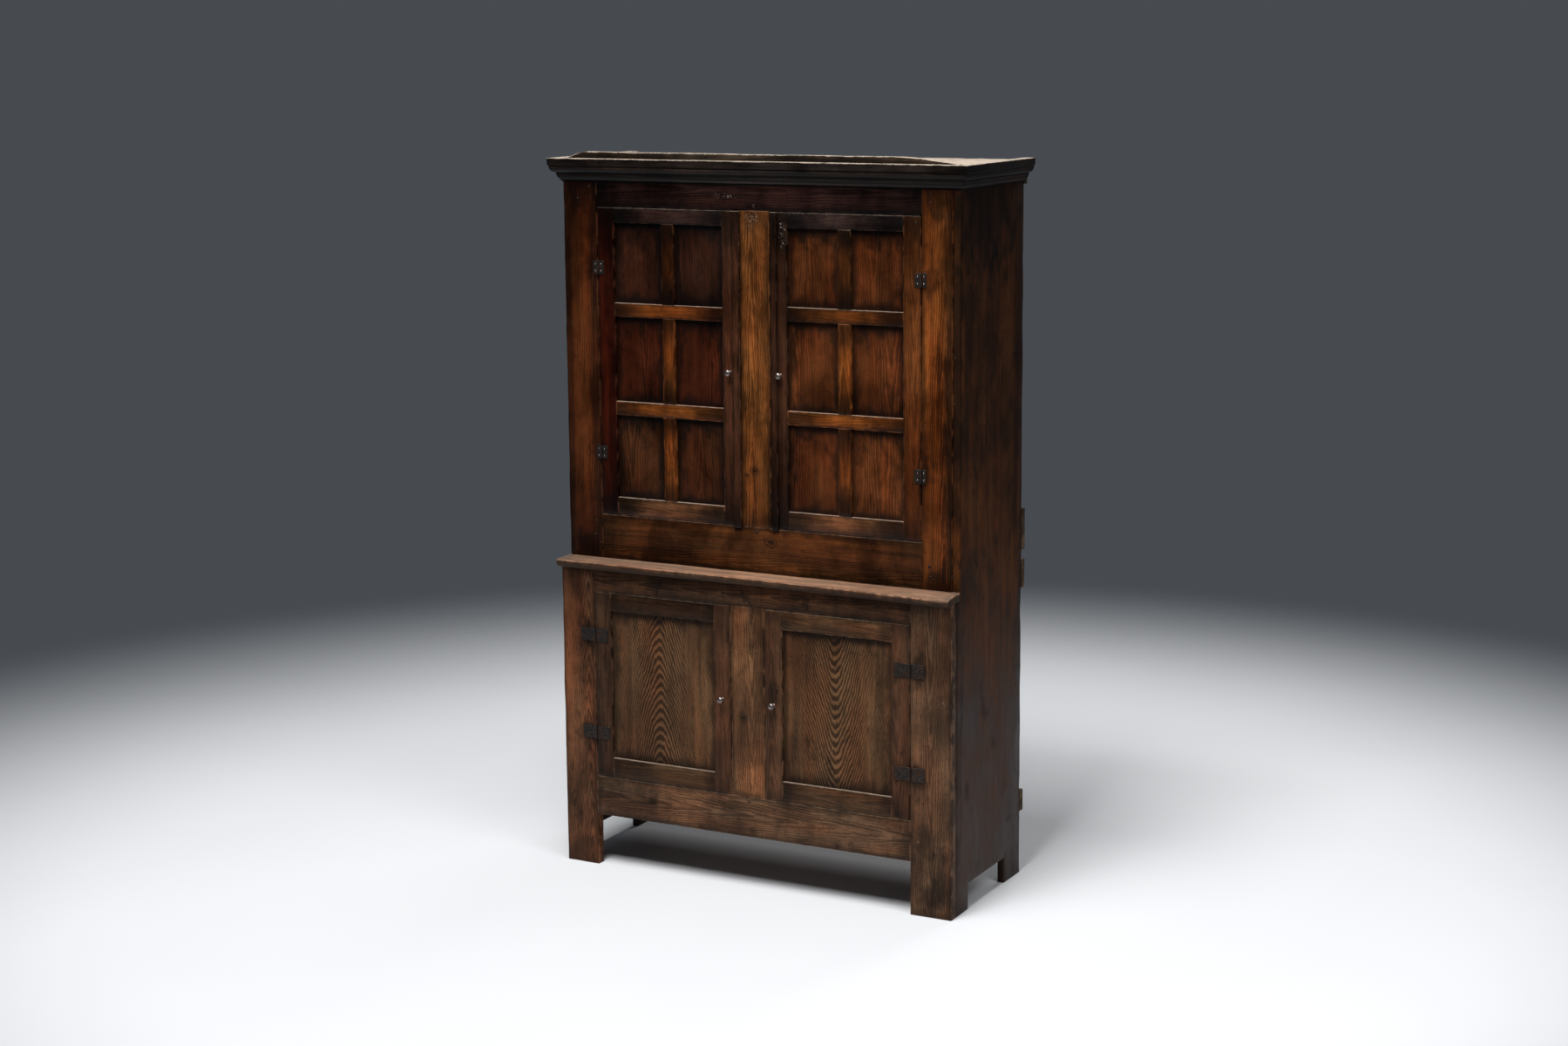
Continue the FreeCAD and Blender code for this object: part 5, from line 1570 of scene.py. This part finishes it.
def make_leaf(name, low, high, barrel_left, is_frame):
    """A hinge leaf: a hand-cut plate with its knuckles, and the pin on the frame's own leaf."""
    radius = (high.y - low.y - LEAF_GAP) / 2
    axis_x = low.x + radius if barrel_left else high.x - radius
    axis_y = low.y + radius
    thick = PLATE_THICKNESS[0 if radius < SMALL_BARREL else 1]
    plate_low = Vector((axis_x + LEAF_GAP if barrel_left else low.x, high.y - thick, low.z))
    plate_high = Vector((high.x if barrel_left else axis_x - LEAF_GAP, high.y, high.z))
    plate = start_block(f"{name}_plate", plate_low, plate_high)
    ease(plate, PLATE_ARRIS, 1)
    for axis in (0, 2):
        slice_board(plate, axis, PLATE_SLICE)
    chip(plate, weight_corners(plate, "all", lambda place: 1.0), PLATE_CHIP)
    pieces = [plate]

    def bar(kind, bottom, top, wide):
        pieces.append(round_bar(f"{name}_{kind}", Vector((axis_x, axis_y, bottom)),
                                Vector((axis_x, axis_y, top)), wide))

    third = (high.z - low.z) / 3
    spans = [(low.z + third, high.z - third)]
    if is_frame:
        spans = [(low.z, low.z + third - LEAF_GAP), (high.z - third + LEAF_GAP, high.z)]
    for k, (start, end) in enumerate(spans):
        bar(f"knuckle_{k}", start, end, radius)
        web = sorted((axis_x, axis_x + (radius if barrel_left else -radius)))
        pieces.append(start_block(f"{name}_web_{k}", Vector((web[0], axis_y, start + LEAF_GAP)),
                                  Vector((web[1], high.y - thick / 2, end - LEAF_GAP))))
    if is_frame:
        bar("pin", low.z, high.z, radius * PIN_SHARE)
    middle = (plate_low.x + plate_high.x) / 2
    wide = plate_high.x - plate_low.x
    screws = []
    for k, (across, up) in enumerate(WIDE_SCREWS if wide > WIDE_LEAF else NARROW_SCREWS):
        centre = (middle + wide * across, plate_low.y + SCREW_SINK,
                  low.z + (high.z - low.z) * up)
        screws.append(turned(f"{name}_screw_{k}", HEAD_SECTION, centre, SCREW_REACH,
                             sizes().screw_radius, SCREW_SIDES))
    return pieces, screws


class CUPBOARD_OT_hinges(PieceOperator):
    """Iron butt hinges: leaves, knuckles, pins and screws"""

    bl_idname = "cupboard.hinges"
    bl_label = "Hinges"

    def execute(self, context):
        self.fit("frame_hinge_leaves", CASE, True)
        for door in UPPER_DOORS + LOWER_DOORS:
            self.fit(f"{door}_hinge_leaves", door, False)
        return {"FINISHED"}

    def fit(self, node, body, is_frame):
        """All leaves of one node, with their screws: rubbed bright above, rusted below."""
        plates, rubbed, rusted = [], [], []
        for k, (low, high) in enumerate(solids(node)):
            barrel_left = (low.x > 0) == is_frame
            leaf, heads = make_leaf(f"{node}_{k}", low, high, barrel_left, is_frame)
            plates += leaf
            (rubbed if low.z > WAIST else rusted).extend(heads)
        place_piece(join_boards(f"{node}_iron", plates), "wrought_iron", body, node)
        if rubbed:
            place_piece(join_boards(f"{node}_rubbed_screws", rubbed), "knob_metal", body)
        if rusted:
            place_piece(join_boards(f"{node}_rusted_screws", rusted), "wrought_iron", body)


# Half the thickness of a knob's spindle, and how far it reaches into the knob.
SPINDLE = (0.0018, 0.004)


class CUPBOARD_OT_knobs(PieceOperator):
    """Four turned knobs with the latches behind them"""

    bl_idname = "cupboard.knobs"
    bl_label = "Knobs and latches"

    def execute(self, context):
        for door in UPPER_DOORS + LOWER_DOORS:
            node = f"{door}_knob"
            boxes = sorted(solids(node), key=lambda box: box[1].y - box[0].y)
            latch_low, latch_high = boxes[0]
            low, high = boxes[-1]
            x, z = (low.x + high.x) / 2, (low.z + high.z) / 2
            face = low.y + KNOB_REACH
            knob = turned(f"{node}_turning", KNOB_SECTION, (x, face, z), KNOB_REACH, KNOB_BAND,
                          KNOB_SIDES)
            half, sunk = SPINDLE
            spindle = start_block(f"{node}_spindle", Vector((x - half, face - sunk, z - half)),
                                  Vector((x + half, high.y, z + half)))
            latch = self.forge_latch(f"{node}_latch", latch_low, latch_high, x, z)
            place_piece(join_boards(f"{node}_metal", [knob, spindle, latch]), "knob_metal",
                        node.replace("_door", ""), node)
        return {"FINISHED"}

    def forge_latch(self, name, low, high, x, z):
        """A flat latch, widest where its spindle passes and drawn in towards both ends."""
        latch = start_block(name, low, high)
        shoulder = low.z + LATCH_TIP
        bisect_board(latch, 2, [z, shoulder])
        levels = {"top": high.z, "spindle": z, "shoulder": shoulder, "foot": low.z}
        with editing(latch):
            for height, wide in LATCH_WIDTHS:
                choose(latch, "VERT",
                       lambda corner: abs(corner.co.z - levels[height]) < MERGED)
                bpy.ops.transform.resize(value=(wide, 1, 1), center_override=(x, low.y, z))
        ease(latch, LATCH_ARRIS)
        return latch


class CUPBOARD_OT_lock(PieceOperator):
    """The rim lock's case and bolt behind the right lower door"""

    bl_idname = "cupboard.lock"
    bl_label = "Lock and bolt"

    def execute(self, context):
        for node in ("lock_case", "lock_bolt"):
            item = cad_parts[node]
            item.data.materials.clear()
            item.data.materials.append(finish_for("wrought_iron"))
        return {"FINISHED"}


PEG_RADIUS = 0.0046
PEG_SHADE = 0.85
NAIL_LIFT = 0.0006
NAIL_REACH = 0.0018


class CUPBOARD_OT_pegs_and_nails(PieceOperator):
    """Oak pegs through the frames' tenons, and the iron nails driven in later"""

    bl_idname = "cupboard.pegs_and_nails"
    bl_label = "Pegs and nails"

    def execute(self, context):
        pegs = []
        for k, (low, high) in enumerate(solids("frame_pegs")):
            x, z = (low.x + high.x) / 2, (low.z + high.z) / 2
            peg = turned(f"peg_{k}", PEG_SECTION, (x, high.y, z), high.y - low.y, PEG_RADIUS,
                         PEG_SIDES)
            rail = "upper_top_rail" if high.z > WAIST else "lower_bottom_rail"
            mark_grain(peg, low, high, "y", "z", shaded(colour(rail), PEG_SHADE))
            pegs.append(peg)
        place_piece(join_boards("frame_pegs_turned", pegs), "peg_oak", CASE, "frame_pegs")
        nails = [turned(f"nail_{k}", HEAD_SECTION, (x, face + NAIL_LIFT, z), NAIL_REACH,
                        sizes().nail_radius, PEG_SIDES)
                 for k, (x, z, face) in enumerate(FRONT_NAILS)]
        place_piece(join_boards("frame_nails", nails), "wrought_iron", CASE)
        return {"FINISHED"}


class CUPBOARD_OT_inside(PieceOperator):
    """Shelves, floor and the cleats that carry them"""

    bl_idname = "cupboard.inside"
    bl_label = "Shelves and cleats"

    def execute(self, context):
        step = sizes().coarse_slice
        for node, grain, face in (("shelves", "x", "z"), ("floor_board", "x", "z"),
                                  ("shelf_cleats", "y", "x")):
            pieces = [make_board(f"{node}_{k}", low, high, grain, face, colour("inside"),
                                 step=step, chips=0.0)
                      for k, (low, high) in enumerate(solids(node))]
            join_nodes(node, pieces, "inside_oak", CASE)
        return {"FINISHED"}


# How light or dark each back board is, from the left, and the battens are.
BACK_SHADES = (0.9, 1.1, 0.8, 1.05, 0.95)
BATTEN_SHADE = 0.8


class CUPBOARD_OT_back(PieceOperator):
    """Back boards and the battens nailed across them"""

    bl_idname = "cupboard.back"
    bl_label = "Back"

    def execute(self, context):
        pieces = []
        for k, (low, high) in enumerate(solids("back_boards")):
            low.x += GROOVE if k else 0.0
            pieces.append(make_board(f"back_board_{k}", low, high, "z", "y",
                                     shaded(colour("back"), BACK_SHADES[k]), step=0.05,
                                     arris=0.0015))
        join_nodes("back_boards", pieces, "back_oak", CASE)
        pieces = [make_board(f"batten_{k}", low, high, "x", "y",
                             shaded(colour("back"), BATTEN_SHADE), step=0.03, arris=0.002,
                             chips=0.003)
                  for k, (low, high) in enumerate(solids("back_battens"))]
        for piece in pieces:
            trim(piece, 1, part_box("back_battens")[1].y, 1)
        join_nodes("back_battens", pieces, "back_oak", CASE)
        return {"FINISHED"}


# Soft lights: place, the point that each is aimed at, and size.
LIGHTS = {
    "key": ((0.2, -2.9, 5.7), (0.0, 0.0, 0.9), 1.8),
    "fill": ((3.8, -1.8, 4.6), (0.3, 0.0, 0.9), 2.0),
    "head": ((0.0, -1.6, 6.0), (0.0, 0.0, 0.0), 1.8),
    "back": ((0.6, 4.6, 4.4), (0.0, 0.0, 0.9), 2.4),
}
FLOOR_RADIUS = 14
# Distances from the cupboard's middle between which the floor fades into the air.
FLOOR_FADE = (1.7, 3.9)
FLOOR_SHADE = (0.94, 0.95, 0.96)
FLOOR_MOTTLE = 0.35
FLOOR_ROUGHNESS = 0.62
FILM_WIDTH = 36


class CUPBOARD_OT_studio(PieceOperator):
    """Pale floor, plain grey air, four soft lights and the camera"""

    bl_idname = "cupboard.studio"
    bl_label = "Studio"

    def execute(self, context):
        settings = getattr(context.scene, STUDIO)
        self.lay_floor(settings)
        self.fill_air(context, settings)
        for name, (place, aim, size) in LIGHTS.items():
            self.hang_light(f"{name}_light", place, aim, size,
                            getattr(settings, f"{name}_power"))
        self.set_camera(context, settings)
        context.scene.view_settings.view_transform = "Standard"
        return {"FINISHED"}

    def lay_floor(self, settings):
        floor = add_form("studio_floor", bpy.ops.mesh.primitive_circle_add, vertices=96,
                         radius=FLOOR_RADIUS, fill_type="NGON")
        tree = Tree("studio_floor")
        world = tree.add("TexCoord", output="Object")
        base = opaque(settings.floor)
        paint = tree.mix(tree.mask(world, "floor", 0.0, FLOOR_MOTTLE), base,
                         tree.times(base, FLOOR_SHADE))
        faded = tree.remap(tree.distance(world), *FLOOR_FADE)
        mixed = tree.add("MixShader", {0: faded, 1: tree.surface(paint, FLOOR_ROUGHNESS),
                                       2: tree.add("BsdfTransparent")})
        floor.data.materials.append(tree.finish(mixed))

    def fill_air(self, context, settings):
        world = context.scene.world or bpy.data.worlds.new("studio_air")
        context.scene.world = world
        world.use_nodes = True
        backdrop = world.node_tree.nodes["Background"]
        backdrop.inputs["Color"].default_value = opaque(settings.air)
        backdrop.inputs["Strength"].default_value = 1.0

    def hang_light(self, name, place, aim, size, power):
        data = bpy.data.lights.new(name, "AREA")
        data.shape = "SQUARE"
        data.size = size
        data.energy = power
        lamp = bpy.data.objects.new(name, data)
        bpy.context.scene.collection.objects.link(lamp)
        lamp.location = place
        way = Vector(aim) - Vector(place)
        lamp.rotation_euler = way.to_track_quat("-Z", "Y").to_euler()

    def set_camera(self, context, settings):
        data = bpy.data.cameras.new("photo_camera")
        camera = bpy.data.objects.new("photo_camera", data)
        context.scene.collection.objects.link(camera)
        turn, tilt, roll = settings.turn, settings.tilt, settings.roll
        ahead = Vector((-math.sin(turn) * math.cos(tilt), math.cos(turn) * math.cos(tilt),
                        -math.sin(tilt)))
        right = ahead.cross(Vector((0, 0, 1))).normalized()
        up = right.cross(ahead)
        rolled_right = right * math.cos(roll) - up * math.sin(roll)
        rolled_up = rolled_right.cross(ahead)
        axes = Matrix((rolled_right, rolled_up, -ahead)).transposed()
        camera.matrix_world = Matrix.Translation(Vector(settings.eye)) @ axes.to_4x4()
        data.lens = settings.lens
        data.sensor_width = FILM_WIDTH
        data.shift_x, data.shift_y = settings.shift
        context.scene.camera = camera


PIECES = (
    CUPBOARD_OT_studio, CUPBOARD_OT_sides, CUPBOARD_OT_face_frames, CUPBOARD_OT_waist_ledge,
    CUPBOARD_OT_cornice, CUPBOARD_OT_top, CUPBOARD_OT_upper_doors, CUPBOARD_OT_lower_doors,
    CUPBOARD_OT_panels, CUPBOARD_OT_closing_strips, CUPBOARD_OT_hinges, CUPBOARD_OT_knobs,
    CUPBOARD_OT_lock, CUPBOARD_OT_pegs_and_nails, CUPBOARD_OT_inside, CUPBOARD_OT_back,
)


class CUPBOARD_PT_panel(bpy.types.Panel):
    """Lists the cupboard's pieces in the order in which they are made"""

    bl_idname = "CUPBOARD_PT_panel"
    bl_label = "Court Cupboard"
    bl_space_type = "VIEW_3D"
    bl_region_type = "UI"
    bl_category = "Cupboard"

    def draw(self, context):
        column = self.layout.column(align=True)
        for piece in PIECES:
            column.operator(piece.bl_idname)
        for group in (SIZES, COLOURS, STUDIO):
            settings = getattr(context.scene, group)
            box = self.layout.box()
            for name in settings.bl_rna.properties.keys():
                if name not in ("rna_type", "name"):
                    box.prop(settings, name)


GROUPS = {SIZES: CupboardSizes, COLOURS: CupboardColours, STUDIO: CupboardStudio}


def register():
    for kind in (*GROUPS.values(), *PIECES, CUPBOARD_PT_panel):
        bpy.utils.register_class(kind)
    for name, kind in GROUPS.items():
        setattr(bpy.types.Scene, name, bpy.props.PointerProperty(type=kind))


def unregister():
    for name in GROUPS:
        delattr(bpy.types.Scene, name)
    for kind in reversed((*GROUPS.values(), *PIECES, CUPBOARD_PT_panel)):
        bpy.utils.unregister_class(kind)


def main():
    register()
    for piece in PIECES:
        family, action = piece.bl_idname.split(".")
        getattr(getattr(bpy.ops, family), action)()


if __name__ == "__main__":
    main()
